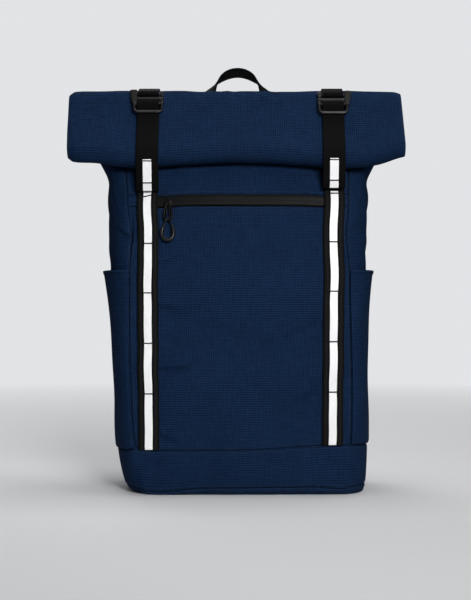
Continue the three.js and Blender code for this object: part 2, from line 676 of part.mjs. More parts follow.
// Webbing that comes up the back and over the roll, and turns round the hook's upper bar.
function makeHookLoop(side, suffix) {
  const x = STRAP_ASIDE + side * STRAP_TOP_X;
  const barUp = HOOK_H + HOOK_BAR_H;
  const barTurn = 2.8;
  const onBack = heightsIn(BACK_PAD_Z + 6, NECK_Z - 2)
    .map((z) => cloth(backU(x, z), z, GAP * 2 + WEBBING / 2))
    .map((p) => new THREE.Vector3(x, p.y, p.z));
  const wallTop = onRoll(
    x, ROLL_TOP_H + ROLL_LAYERS[1] * Math.sin(ROLL_ENTRY), ROLL_LAYERS[0] * Math.cos(ROLL_ENTRY),
  );
  const wallFace = wallTop.clone().sub(rollStart(x)).normalize().cross(new THREE.Vector3(1, 0, 0));
  const upWall = steps(0.1, 0.8, 2).map((share) => rollStart(x).lerp(wallTop, share)
    .addScaledVector(wallFace, LOOP_OUT + ROLL_LAYERS[0]));
  const overTop = steps(Math.PI - ROLL_ENTRY, LOOP_LEAVE, 6).map((turn) => onRoll(
    x, ROLL_TOP_H + LOOP_OUT * Math.sin(turn), LOOP_OUT * Math.cos(turn),
  ));
  const roundBar = steps(0.6, -Math.PI, 8).map((turn) => onRoll(
    x, barUp + barTurn * Math.sin(turn), HOOK_LIFT + barTurn * Math.cos(turn),
  ));
  const end = onRoll(x, barUp + 1.6, HOOK_LIFT - barTurn - 0.3);
  const line = [...onBack, ...upWall, ...overTop, ...roundBar, end];
  addPiece(`hook_loop_${suffix}`, ribbon(hangingSteps(line), DAISY_WIDTH, WEBBING), BLACK);
}

// Front pocket zip

function makeZip() {
  const heights = [ZIP_LOW_Z + GAP / 2, ZIP_HIGH_Z - GAP / 2];
  const middle = (ZIP_LOW_Z + ZIP_HIGH_Z) / 2;
  const leftEnd = frontU(-STRAP_TOP_X, middle);
  const rightEnd = frontU(STRAP_TOP_X, middle);
  panel('zip_tape', [leftEnd + SEAM_U, rightEnd - SEAM_U], 8, heights, ZIP_TAPE_WALL, BLACK);
  panel('zip_end_left', [FRONT_U[0], leftEnd - SEAM_U], 1, heights, FABRIC, NAVY);
  panel('zip_end_right', [rightEnd + SEAM_U, FRONT_U[1]], 1, heights, FABRIC, NAVY);
}

// Slider with a bridge, a wire ring under the bridge and a teardrop loop that links through the ring.
function makeZipPull() {
  const u = frontU(SLIDER_X, SLIDER_Z);
  const out = outward(u, SLIDER_Z);
  const right = new THREE.Vector3(1, 0, 0).addScaledVector(out, -out.x).normalize();
  const up = new THREE.Vector3().crossVectors(out, right);
  const seat = new THREE.Matrix4().makeBasis(right, up, out).setPosition(cloth(u, SLIDER_Z, GAP));
  const at = (x, h, lift) => new THREE.Vector3(x, h, lift);

  const shape = new THREE.Shape(blockCorners(blockAbout(SLIDER.width, SLIDER.height), SLIDER.corner));
  const body = new THREE.ExtrudeGeometry(shape, { depth: SLIDER.depth, bevelEnabled: false });
  const bridgeLine = steps(0, Math.PI, 8).map((turn) => at(
    0, (BRIDGE.length / 2) * Math.cos(turn), BRIDGE.foot + BRIDGE.rise * Math.sin(turn),
  ));
  const bridge = wireAcross(bridgeLine, BRIDGE.wire);
  addPiece('zip_slider', joined(body, bridge).applyMatrix4(seat), GUNMETAL);

  const ringBlock = { x0: -RING_HALF, x1: RING_HALF, h0: -RING_LENGTH, h1: 0 };
  const ring = blockCorners(ringBlock, RING_HALF - 0.2, 3).map((p) => at(p.x, p.y, PULL_LIFT));
  addPiece('zip_pull_ring', roundLoop(ring, ring.map(() => PULL_WIRE), 6).applyMatrix4(seat), GUNMETAL);

  const loopTop = LOOP_LINK - RING_LENGTH;
  const loop = [];
  const radii = [];
  for (const turn of steps(0, 2 * Math.PI, 24).slice(0, -1)) {
    const drop = (LOOP_LENGTH / 2) * (1 - Math.cos(turn));
    const cross = Math.min(1, 1.6 * Math.abs(Math.sin(turn))) * Math.sign(Math.sin(turn));
    const lift = PULL_LIFT - LOOP_CROSS * cross * Math.exp(-((drop / RING_HALF / 1.5) ** 2));
    const out = LOOP_HALF * Math.sin(turn) * Math.sin(turn / 2) ** 1.1;
    const grip = THREE.MathUtils.smoothstep(drop, GRIP_FROM, GRIP_FULL);
    loop.push(at(out, loopTop - drop, lift));
    radii.push(THREE.MathUtils.lerp(LOOP_THIN, LOOP_GRIP, grip));
  }
  addPiece('zip_pull_loop', roundLoop(loop, radii, 6).applyMatrix4(seat), PLASTIC);
}

// A wire whose line keeps to a plane of constant x.
function wireAcross(line, radius) {
  const side = new THREE.Vector3(1, 0, 0);
  return loft(line.map((p, i) => {
    const up = new THREE.Vector3().crossVectors(alongAt(line, i), side);
    return steps(0, 2 * Math.PI, 6).slice(0, -1).map((turn) => p.clone()
      .addScaledVector(side, radius * Math.cos(turn))
      .addScaledVector(up, radius * Math.sin(turn)));
  }));
}

// A closed wire that lies nearly flat, with its own radius at each point.
function roundLoop(line, radii, sides) {
  const count = line.length;
  const lift = new THREE.Vector3(0, 0, 1);
  return loft(line.map((p, i) => {
    const along = line[(i + 1) % count].clone().sub(line[(i + count - 1) % count]).normalize();
    const flat = new THREE.Vector3().crossVectors(lift, along).normalize();
    const up = new THREE.Vector3().crossVectors(along, flat);
    return steps(0, 2 * Math.PI, sides).slice(0, -1).map((turn) => p.clone()
      .addScaledVector(flat, radii[i] * Math.cos(turn))
      .addScaledVector(up, radii[i] * Math.sin(turn)));
  }), true);
}

// Handle behind the roll: flat on the back at both feet, turned edgeways over the top.
function makeHandle() {
  const lift = GAP * 3 + WEBBING / 2;
  const place = (x, y, z) => new THREE.Vector3(HANDLE_X + x, y, z);
  const foot = (s, z) => cloth(backU(HANDLE_X + s * (HANDLE_HALF + HANDLE_SPLAY), z), z, lift);
  const leg = (s) => [
    ...heightsIn(HANDLE_FOOT_Z, NECK_Z).map((z) => foot(s, z)),
    place(s * HANDLE_HALF, HANDLE_LEG_Y, HANDLE_TOP_Z - HANDLE_LEG_DROP),
    place(s * (HANDLE_HALF - HANDLE_BEND_IN), HANDLE_TOP_Y, HANDLE_TOP_Z - HANDLE_BEND_DROP),
  ];
  const curve = new THREE.CatmullRomCurve3([
    ...leg(-1), place(0, HANDLE_TOP_Y, HANDLE_TOP_Z - HANDLE_CROWN), ...leg(1).reverse(),
  ], false, 'centripetal');
  const count = 28;
  const flat = new THREE.Vector3(1, 0, 0);
  const tilt = new THREE.Vector3(0, -Math.cos(HANDLE_TILT), Math.sin(HANDLE_TILT));
  const rows = steps(0, 1, count).map((t) => {
    const along = curve.getTangentAt(t);
    const side = t < 0.5 ? 1 : -1;
    const twist = THREE.MathUtils.smoothstep(Math.min(t, 1 - t), HANDLE_TWIST.from, HANDLE_TWIST.to);
    const wish = flat.clone().multiplyScalar(side * (1 - twist)).addScaledVector(tilt, twist);
    const across = wish.addScaledVector(along, -wish.dot(along)).normalize();
    return { centre: curve.getPointAt(t), across, face: new THREE.Vector3().crossVectors(along, across) };
  });
  addPiece('haul_handle', ribbon(rows, WEBBING_WIDTH, HANDLE_WALL), BLACK);
}

// Shoulder straps: a padded part from the top of the back, an adjuster and webbing to the base corner
function makeShoulderStrap(side, suffix) {
  const place = ({ x, y, z }) => new THREE.Vector3(side * x, y, z);
  const curve = new THREE.CatmullRomCurve3(SHOULDER_LINE.map(place));
  const frameAt = (t) => {
    const along = curve.getTangent(t);
    const across = new THREE.Vector3(0, 1, 0).cross(along).normalize();
    return { centre: curve.getPoint(t), across, face: new THREE.Vector3().crossVectors(along, across) };
  };
  const { across: flat, face: edge } = SHOULDER_EDGE;
  const bevel = [
    [-1, -edge], [-flat, -1], [flat, -1], [1, -edge], [1, edge], [flat, 1], [-flat, 1], [-1, edge],
  ];
  const rings = steps(0, 1, 14).map((t) => {
    const { centre, across, face } = frameAt(t);
    const taper = SHOULDER_TAPER.by * THREE.MathUtils.smoothstep(t, SHOULDER_TAPER.from, 1);
    const width = SHOULDER_WIDTH * (1 - taper);
    return bevel.map(([a, b]) => centre.clone()
      .addScaledVector(across, (a * width) / 2)
      .addScaledVector(face, (b * SHOULDER_PAD) / 2));
  });
  addPiece(`shoulder_strap_${suffix}`, loft(rings), NAVY);

  const end = frameAt(1);
  const up = curve.getTangent(1).negate();
  const out = new THREE.Vector3().crossVectors(end.across, up).normalize();
  const facing = Math.sign(out.y);
  const seat = new THREE.Matrix4().makeBasis(end.across, up, out)
    .setPosition(end.centre.clone().addScaledVector(up, -ADJUSTER_DROP));
  const { width, height, depth, corner, slot, slotHeight, slotAt } = ADJUSTER;
  const frame = new THREE.Shape(blockCorners(blockAbout(width, height), corner));
  for (const h of [slotAt, -slotAt]) {
    frame.holes.push(new THREE.Path(blockCorners(blockAbout(slot, slotHeight, h), corner / 2)));
  }
  const plate = new THREE.ExtrudeGeometry(frame, { depth, bevelEnabled: false });
  addPiece(`strap_adjuster_${suffix}`, plate.translate(0, 0, -depth / 2).applyMatrix4(seat), PLASTIC);

  const local = (h, n) => new THREE.Vector3(0, h, n * facing).applyMatrix4(seat);
  const anchor = cloth(backU(side * ANCHOR_X, ANCHOR_Z), ANCHOR_Z, GAP * 2 + WEBBING / 2);
  const below = local(-height / 2 - 2, -ADJUSTER_TURN);
  const leave = anchor.clone().lerp(below, 0.3);
  leave.y = anchor.y + 1;
  const line = [
    anchor,
    leave,
    below,
    local(-ADJUSTER_TURN, -ADJUSTER_TURN),
    ...steps(Math.PI, 0, 6).map((turn) => local(
      ADJUSTER_TURN * Math.sin(turn), ADJUSTER_TURN * Math.cos(turn),
    )),
    ...FREE_END.map(({ down, out }) => local(-down, ADJUSTER_TURN + out)),
  ];
  const rows = line.map((centre, i) => {
    const along = alongAt(line, i);
    const across = end.across.clone().addScaledVector(along, -end.across.dot(along)).normalize();
    return { centre, across, face: new THREE.Vector3().crossVectors(across, along) };
  });
  addPiece(`strap_webbing_${suffix}`, ribbon(rows, DAISY_WIDTH, WEBBING), BLACK);
}

makeBase();
makeBody();
makePocket('side_pocket_right', RIGHT_U);
makePocket('side_pocket_left', LEFT_U);
makeRoll();
makeZip();
makeZipPull();
makeHandle();
for (const [side, suffix] of [[-1, 'left'], [1, 'right']]) {
  makeFrontStrap(side, suffix);
  makeHook(side, suffix);
  makeHookLoop(side, suffix);
  makeShoulderStrap(side, suffix);
}

// The origin is under the middle of the bag's box.
const box = new THREE.Box3().setFromObject(bag);
const middle = box.getCenter(new THREE.Vector3());
bag.position.set(-middle.x, -middle.y, -box.min.z);

export default bag;
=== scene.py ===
"""Dresses a roll-top backpack: canvas panels, webbing, hooks, zip and padded back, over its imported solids.

Shapes are worked out in millimetres in the cutting frame, where the back wall stands at y = 0 and the
front faces -Y, and are put into the row frame in metres when a mesh is made.
"""
import logging
import math
from dataclasses import dataclass, field
from enum import Enum
from typing import Callable, Optional, Sequence, Union

import bpy
import numpy as np
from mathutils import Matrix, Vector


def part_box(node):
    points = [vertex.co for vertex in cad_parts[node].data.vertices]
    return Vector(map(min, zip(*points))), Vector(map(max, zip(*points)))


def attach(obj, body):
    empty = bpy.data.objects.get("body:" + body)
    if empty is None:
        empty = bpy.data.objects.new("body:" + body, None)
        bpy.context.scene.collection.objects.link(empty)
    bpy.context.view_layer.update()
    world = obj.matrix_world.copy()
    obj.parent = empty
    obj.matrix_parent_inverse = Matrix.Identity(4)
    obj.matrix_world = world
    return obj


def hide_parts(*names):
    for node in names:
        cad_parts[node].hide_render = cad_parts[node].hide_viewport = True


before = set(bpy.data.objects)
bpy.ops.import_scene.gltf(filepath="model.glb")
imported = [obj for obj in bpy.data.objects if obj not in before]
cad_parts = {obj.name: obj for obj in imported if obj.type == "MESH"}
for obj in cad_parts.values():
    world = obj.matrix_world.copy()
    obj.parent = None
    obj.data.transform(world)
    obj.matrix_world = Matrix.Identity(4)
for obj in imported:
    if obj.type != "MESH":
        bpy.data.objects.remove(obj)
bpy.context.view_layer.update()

LOG = logging.getLogger("backpack")
Array = np.ndarray
Socket = bpy.types.NodeSocket
Colour = tuple[float, float, float]
Profile = Callable[[Array], tuple[Array, Array]]    # both coordinates of a section for angles round it
Line = tuple[Array, Array]                          # points of a row of stitches and their normals
Tack = tuple[Array, Array, Array]                   # places, directions across and normals
MM = 0.001
X_AXIS = np.array([1.0, 0.0, 0.0])
ROLL_LEFT_END = -198.0      # x of the roll's left end in the cutting frame
ROLL_RIGHT_END = 187.0      # and of its right end
BASE_BACK = 2.0             # y of the base band's back in the cutting frame
SHIFT = np.array([
    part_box("roll_top")[0][0] / MM - ROLL_LEFT_END,
    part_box("base_band")[1][1] / MM - BASE_BACK,
    0.0,
])


class Slot(Enum):
    """Material slots of the record."""

    CANVAS = "canvas"
    WEBBING = "webbing"
    ZIP = "zip_tape"
    REFLECTIVE = "reflective"
    METAL = "gunmetal"
    PLASTIC = "plastic"


class Side(Enum):
    """The two sides of the bag, seen by someone who looks at its front."""

    LEFT = -1
    RIGHT = 1

    @property
    def suffix(self) -> str:
        """Ending of the node names on this side."""
        return self.name.lower()

    def node(self, name: str) -> str:
        """Name of this side's node of a pair."""
        return f"{name}_{self.suffix}"

    def pick(self, pair: tuple[float, float]) -> float:
        """This side's value of a left and a right one."""
        return pair[self is Side.RIGHT]


# Curves and tables


def smooth_between(keys: Array, values: Array, at: Array) -> Array:
    """Value of a table at any place, on a cubic through its rows with central-difference slopes.

    Args:
        keys: Rising places of the rows.
        values: The column's value in each row.
        at: Places to read.

    Returns:
        Values in the shape of ``at``; the end rows' values hold beyond them.
    """
    slopes = np.gradient(values, keys)
    slopes[1:-1] = (values[2:] - values[:-2]) / (keys[2:] - keys[:-2])
    i = np.clip(np.searchsorted(keys, at, side="right") - 1, 0, len(keys) - 2)
    span = keys[i + 1] - keys[i]
    t = np.clip((at - keys[i]) / span, 0.0, 1.0)
    rise = values[i + 1] - values[i]
    leave = slopes[i] * span - rise
    arrive = slopes[i + 1] * span - rise
    return values[i] + rise * t + t * (1 - t) * ((1 - t) * leave - t * arrive)


def smoothstep(low: float, high: float, at: Array) -> Array:
    """0 below low, 1 above high, and a smooth rise between them."""
    t = np.clip((np.asarray(at, float) - low) / (high - low), 0.0, 1.0)
    return t * t * (3 - 2 * t)


def bell(distance: Array, width: Union[float, Array]) -> Array:
    """exp(-(distance / width)^2)."""
    return np.exp(-((np.asarray(distance, float) / width) ** 2))


def unit(vectors: Array) -> Array:
    """Vectors scaled to length 1 along the last axis."""
    return vectors / np.maximum(np.linalg.norm(vectors, axis=-1, keepdims=True), 1e-12)


def lengths_along(line: Array) -> Array:
    """Distance of each point of a line from its start, measured along it."""
    steps = np.linalg.norm(np.diff(line, axis=0), axis=-1)
    return np.concatenate([[0.0], np.cumsum(steps)])


def read_along(at: Array, far: Array, values: Array) -> Array:
    """Vectors between the rows of values, which stand at the distances far, at the distances at."""
    return np.stack([np.interp(at, far, column) for column in values.T], axis=-1)


def signed_power(value: Array, power: float) -> Array:
    """|value|^power with the sign of the value."""
    return np.sign(value) * np.abs(value) ** power


def even_line(points: Array, spacing: float, closed: bool = False) -> Array:
    """A smooth line through points, with evenly spaced points of its own.

    Each span is a centripetal Catmull-Rom cubic, evaluated by blending the knots linearly three times.

    Args:
        points: (n, 3) points to pass through.
        spacing: Distance between the points returned.
        closed: Whether the line runs round to its start.

    Returns:
        (m, 3) points; a closed line doesn't repeat its first point.
    """
    p = np.asarray(points, float)
    if closed:
        q = np.concatenate([p[-1:], p, p[:2]])
    else:
        q = np.concatenate([[2 * p[0] - p[1]], p, [2 * p[-1] - p[-2]]])
    gaps = np.sqrt(np.maximum(np.linalg.norm(np.diff(q, axis=0), axis=1), 1e-9))
    p0, p1, p2, p3 = (part[:, None] for part in (q[:-3], q[1:-2], q[2:-1], q[3:]))
    t1 = gaps[:-2, None, None]
    t2 = t1 + gaps[1:-1, None, None]
    t3 = t2 + gaps[2:, None, None]
    t = t1 + (t2 - t1) * np.linspace(0.0, 1.0, 16)[None, :, None]
    a1 = (t1 - t) / t1 * p0 + t / t1 * p1
    a2 = (t2 - t) / (t2 - t1) * p1 + (t - t1) / (t2 - t1) * p2
    a3 = (t3 - t) / (t3 - t2) * p2 + (t - t2) / (t3 - t2) * p3
    b1 = (t2 - t) / t2 * a1 + t / t2 * a2
    b2 = (t3 - t) / (t3 - t1) * a2 + (t - t1) / (t3 - t1) * a3
    dense = ((t2 - t) / (t2 - t1) * b1 + (t - t1) / (t2 - t1) * b2)[:, :-1].reshape(-1, 3)
    dense = np.concatenate([dense, p[:1] if closed else p[-1:]])
    far = lengths_along(dense)
    count = max(int(round(far[-1] / spacing)), 2)
    line = read_along(np.linspace(0.0, far[-1], count + 1), far, dense)
    return line[:-1] if closed else line


def tangents(line: Array, closed: bool = False) -> Array:
    """Unit direction of a line at each of its points, from the points on either side."""
    if closed:
        return unit(np.roll(line, -1, axis=0) - np.roll(line, 1, axis=0))
    return unit(np.gradient(line, axis=0))


def fine_edges(length: float, step: float, edge: float = 4.0) -> Array:
    """Places from 0 to length, about a step apart, and closer together near both ends."""
    inner = np.linspace(edge, length - edge, max(int(round((length - 2 * edge) / step)), 2) + 1)
    near = edge * np.array([0.0, 0.1, 0.22, 0.37, 0.55, 0.76])
    return np.concatenate([near, inner, length - near[::-1]])


def doubled(values: Array) -> Array:
    """Values with the first and the last one repeated."""
    return np.concatenate([values[:1], values, values[-1:]])


# Meshes


def grid_faces(rows: int, columns: int, round_columns: bool = False,
               first: int = 0) -> tuple[Array, Array, Array]:
    """Quads of a grid of points.

    Args:
        rows: Rows of points.
        columns: Points in a row.
        round_columns: Whether each row runs round to its start.
        first: Index of the grid's first point.

    Returns:
        (n, 4) point indices, and the (n, 4) row and column of each corner, the column counted on past a
        closed row's end.
    """
    spans = columns if round_columns else columns - 1
    i, j = np.meshgrid(np.arange(rows - 1), np.arange(spans), indexing="ij")
    i, j = i.ravel(), j.ravel()
    corner_row = np.stack([i, i, i + 1, i + 1], axis=-1)
    corner_column = np.stack([j, j + 1, j + 1, j], axis=-1)
    return first + corner_row * columns + corner_column % columns, corner_row, corner_column


@dataclass
class Surface:
    """Vertices in the cutting frame with their faces and a flat map in millimetres."""

    points: list[Array] = field(default_factory=list)
    quads: list[Array] = field(default_factory=list)
    quad_maps: list[Array] = field(default_factory=list)
    fans: list[Array] = field(default_factory=list)
    wear: list[Array] = field(default_factory=list)
    size: int = 0

    def add_grid(self, points: Array, along: Array, across: Array, round_columns: bool = False,
                 wear: Optional[Array] = None) -> "Surface":
        """Adds a grid of points, whose rows and columns stand at the given distances of the flat map.

        Args:
            points: (rows, columns, 3) points; normals follow column direction x row direction.
            along: Distance of each column, one more than the columns where rows run round.
            across: Distance of each row.
            round_columns: Whether each row runs round to its start.
            wear: Optional (rows, columns) amount of wear, 0 to 1.

        Returns:
            This surface.
        """
        rows, columns = points.shape[:2]
        quads, row, column = grid_faces(rows, columns, round_columns, self.size)
        self.points.append(points.reshape(-1, 3))
        self.quads.append(quads)
        self.quad_maps.append(np.stack([along[column], across[row]], axis=-1))
        self.wear.append(np.zeros(rows * columns) if wear is None else wear.ravel())
        self.size += rows * columns
        return self

    def add_caps(self, columns: int, rows: int) -> "Surface":
        """Closes the first and last row of the grid added last with a point in the middle of each."""
        start = self.size - rows * columns
        for row, turn in ((0, 1), (rows - 1, -1)):
            ring = start + row * columns + np.arange(columns)[::turn]
            middle = np.concatenate(self.points)[ring].mean(axis=0)
            self.points.append(middle[None, :])
            self.wear.append(np.zeros(1))
            self.fans.append(np.stack([np.roll(ring, -1), ring, np.full(columns, self.size)], axis=-1))
            self.size += 1
        return self

    def make(self, name: str) -> bpy.types.Object:
        """Puts the surface into a smooth-shaded mesh object in the row frame.

        Args:
            name: Name of the piece.

        Returns:
            The object, linked to the scene.
        """
        points = (np.concatenate(self.points) + SHIFT) * MM
        quads = np.concatenate(self.quads)
        fans = np.concatenate(self.fans) if self.fans else np.zeros((0, 3), int)
        mesh = bpy.data.meshes.new(name)
        mesh.vertices.add(len(points))
        mesh.vertices.foreach_set("co", points.ravel())
        corners = np.concatenate([quads.ravel(), fans.ravel()])
        mesh.loops.add(len(corners))
        mesh.loops.foreach_set("vertex_index", corners)
        totals = np.concatenate([np.full(len(quads), 4), np.full(len(fans), 3)])
        mesh.polygons.add(len(totals))
        mesh.polygons.foreach_set("loop_start", np.concatenate([[0], np.cumsum(totals)[:-1]]))
        mesh.polygons.foreach_set("loop_total", totals)
        mesh.polygons.foreach_set("use_smooth", np.ones(len(totals), bool))
        maps = np.zeros((len(corners), 2))
        maps[:quads.size] = np.concatenate(self.quad_maps).reshape(-1, 2) * MM
        layer = mesh.uv_layers.new(name="flat")
        layer.data.foreach_set("uv", maps.ravel())
        attribute = mesh.attributes.new("wear", "FLOAT", "POINT")
        attribute.data.foreach_set("value", np.concatenate(self.wear))
        mesh.update(calc_edges=True)
        mesh.validate()
        piece = bpy.data.objects.new(name, mesh)
        bpy.context.scene.collection.objects.link(piece)
        return piece


def thicken(piece: bpy.types.Object, wall: float, offset: float = -1.0) -> None:
    """Gives a single sheet its wall in millimetres, inwards from its face for offset -1."""
    solid = piece.modifiers.new("wall", "SOLIDIFY")
    solid.thickness = wall * MM
    solid.offset = offset
    solid.use_rim = True


def sweep(centre: Array, across: Array, face: Array, profile: Profile, count: int,
          scale: Optional[Array] = None, closed: bool = False,
          surface: Optional[Surface] = None) -> Surface:
    """Carries a closed profile along a path: point = centre + across * a + face * b.

    Args:
        centre: (n, 3) path.
        across: (n, 3) directions of the profile's first axis.
        face: (n, 3) directions of its second axis.
        profile: Gives (a, b) in millimetres for angles round the profile.
        count: Points round the profile.
        scale: Optional (n, 2) factors of a and b at each step.
        closed: Whether the path runs round to its start.
        surface: Surface to add to, or a new one.

    Returns:
        The surface with the swept skin, capped where the path is open.
    """
    surface = surface or Surface()
    turn = np.linspace(0.0, 2 * math.pi, count, endpoint=False)
    a, b = profile(turn)
    scale = np.ones((len(centre), 2)) if scale is None else scale
    rows = (centre[:, None] + across[:, None] * (a * scale[:, :1])[..., None]
            + face[:, None] * (b * scale[:, 1:])[..., None])
    path = lengths_along(centre)
    if closed:
        rows = np.concatenate([rows, rows[:1]])
        path = np.append(path, path[-1] + np.linalg.norm(centre[0] - centre[-1]))
    girth = lengths_along(np.stack([np.append(a, a[0]), np.append(b, b[0])], axis=-1))
    surface.add_grid(rows, girth, path, round_columns=True)
    return surface if closed else surface.add_caps(count, len(rows))


def circle(turn: Array) -> tuple[Array, Array]:
    """The profile of a circle of radius 1."""
    return np.cos(turn), np.sin(turn)


def block_profile(width: float, thickness: float, power: float) -> Profile:
    """A rectangle with rounded corners: half of each side times |cos|^power or |sin|^power, with its sign."""
    def profile(turn: Array) -> tuple[Array, Array]:
        """Points of the rounded rectangle."""
        c, s = circle(turn)
        return width / 2 * signed_power(c, power), thickness / 2 * signed_power(s, power)
    return profile


def flat_tube(line: Array, radii: Array, lift: Array, sides: int = 10, closed: bool = False,
              surface: Optional[Surface] = None) -> Surface:
    """A round wire along a line that lies nearly flat across the direction ``lift``.

    Args:
        line: (n, 3) path.
        radii: (n,) radius at each point.
        lift: Direction that the line's plane faces.
        sides: Points round the wire.
        closed: Whether the line runs round to its start.
        surface: Surface to add to, or a new one.

    Returns:
        The surface with the wire.
    """
    along = tangents(line, closed)
    across = unit(np.cross(along, lift))
    face = np.cross(across, along)
    scale = np.stack([radii, radii], axis=-1)
    return sweep(line, across, face, circle, sides, scale, closed, surface)


# The body


@dataclass(frozen=True)
class Crease:
    """A fold pressed into the cloth: its place round and up the body, slant, half length and width, depth."""

    u: float
    z: float
    slant: float
    length: float
    width: float
    depth: float

    def height(self, u: Array, z: Array) -> Array:
        """Valley and a lower ridge beside it: depth * (0.7 bell(off - 1.7 width) - bell(off)) * bell(run)."""
        stretch = FRONT_SPREAD if self.u < 1.0 else SIDE_SPREAD
        a = (np.where((self.u < 0.5) & (u > 3.0), u - 4.0, u) - self.u) * stretch
        b = z - self.z
        turn = math.radians(self.slant)
        run = a * math.cos(turn) + b * math.sin(turn)
        off = b * math.cos(turn) - a * math.sin(turn)
        fold = 0.7 * bell(off - 1.7 * self.width, self.width) - bell(off, self.width)
        return self.depth * fold * bell(run, self.length)


FRONT_SPREAD = 250.0        # millimetres round the body for one unit of u on the front
SIDE_SPREAD = 160.0         # and on a side

SECTION_COLUMNS = ("z", "lean", "front_half", "side_half", "back_half", "front", "back")
SECTIONS = np.array([
    (0.0, 9.0, 111.0, 134.5, 128.0, -118.0, -6.0),
    (7.5, 6.0, 115.0, 139.5, 134.0, -125.0, -2.0),
    (51.0, 2.6, 122.0, 144.8, 142.0, -131.0, 0.0),
    (124.0, 0.6, 125.0, 146.0, 144.0, -134.0, 0.0),
    (204.0, -1.3, 125.0, 147.0, 145.0, -133.0, 0.0),
    (284.0, -2.8, 125.0, 150.0, 147.0, -125.0, 0.0),
    (334.0, -2.8, 125.0, 152.0, 148.0, -115.0, 0.0),
    (360.0, -2.8, 126.0, 153.5, 150.0, -106.0, -7.0),
    (382.0, -3.0, 131.0, 161.0, 157.0, -92.0, -26.0),
    (402.0, -4.0, 150.0, 176.0, 172.0, -74.0, -46.0),
    (416.0, -5.0, 168.0, 186.0, 182.0, -66.0, -53.0),
])
DENTS = np.array([          # u, z, half length, half height, depth
    (0.2, 204.0, 0.07, 9.0, 1.4),
    (0.2, 140.0, 0.08, 10.0, 1.6),
    (0.8, 254.0, 0.08, 12.0, 1.4),
    (0.74, 170.0, 0.09, 14.0, 1.5),
    (1.28, 304.0, 0.22, 14.0, 3.0),
    (1.5, 362.0, 0.35, 14.0, 3.0),
    (3.72, 300.0, 0.22, 14.0, 1.4),
    (3.5, 362.0, 0.35, 14.0, 2.2),
    (0.08, 36.0, 0.1, 8.0, 1.6),
])
CREASES = (
    Crease(0.16, 262.0, 14.0, 13.0, 3.2, 3.2),
    Crease(0.165, 211.0, -10.0, 15.0, 3.2, 3.6),
    Crease(0.185, 141.5, 4.0, 19.0, 3.3, 3.8),
    Crease(0.155, 63.0, -24.0, 13.0, 3.2, 3.2),
    Crease(0.78, 184.0, 32.0, 26.0, 6.0, 2.2),
    Crease(0.785, 108.0, 28.0, 24.0, 5.5, 2.0),
    Crease(0.004, 296.0, 84.0, 16.0, 1.5, 3.0),
    Crease(0.03, 299.0, 82.0, 11.0, 2.0, 1.2),
    Crease(0.05, 272.0, 70.0, 14.0, 2.4, 0.9),
    Crease(0.97, 296.0, -78.0, 14.0, 2.2, 1.2),
    Crease(0.35, 388.0, 4.0, 60.0, 6.0, 0.9),
    Crease(0.62, 372.0, -5.0, 52.0, 6.0, 0.8),
    Crease(3.93, 295.0, -24.0, 13.0, 2.6, 2.6),
    Crease(3.74, 338.0, -58.0, 18.0, 5.0, 1.2),
    Crease(3.55, 268.0, 18.0, 30.0, 8.0, 0.9),
    Crease(3.86, 374.0, 40.0, 18.0, 5.0, 1.4),
    Crease(3.4, 318.0, 30.0, 34.0, 9.0, 1.2),
    Crease(1.06, 300.0, 24.0, 14.0, 3.4, 1.4),
    Crease(1.25, 340.0, 56.0, 18.0, 5.0, 1.2),
    Crease(1.5, 276.0, -16.0, 30.0, 8.0, 0.9),
    Crease(1.14, 376.0, -44.0, 18.0, 4.0, 1.5),
    Crease(1.62, 320.0, -28.0, 34.0, 9.0, 1.2),
    Crease(0.09, 34.0, 34.0, 14.0, 3.4, 1.4),
    Crease(0.93, 30.0, -30.0, 16.0, 3.4, 1.2),
    Crease(2.4, 380.0, 6.0, 50.0, 7.0, 1.2),
    Crease(2.7, 392.0, -8.0, 40.0, 6.0, 1.0),
)
SEAM_DRIFT = np.array([     # z, sideways shift of the left and the right front seam
    (40.0, 0.0, 0.0),
    (190.0, 0.0, 0.0),
    (232.0, 0.8, 0.6),
    (256.0, 1.4, 1.2),
    (276.0, 3.0, -0.4),
    (297.0, 4.2, -1.6),
    (320.0, -0.4, 0.8),
    (336.0, -2.2, 1.4),
    (372.0, -2.6, 0.8),
    (412.0, 0.0, 0.0),
])
ZIP_LOW, ZIP_HIGH = 328.5, 341.5
ZIP_MIDDLE = (ZIP_LOW + ZIP_HIGH) / 2
FLOOR_SEAM, BASE_SEAM, BACK_PAD_TOP, NECK = 7.5, 51.0, 349.0, 412.0
HOOK_H, HOOK_LIFT, RIGHT_HOOK_DROP = 21.6, 22.5, 1.4
OPEN_BAR, SLOT_BAR = 9.8, -2.9      # heights of two of a hook's bars in its own plane
BAIL_LIFT = 1.8             # how far the hook's wire loop lies in front of its plate
THREAD_LIFT = 0.05          # topstitching lies this far off the cloth


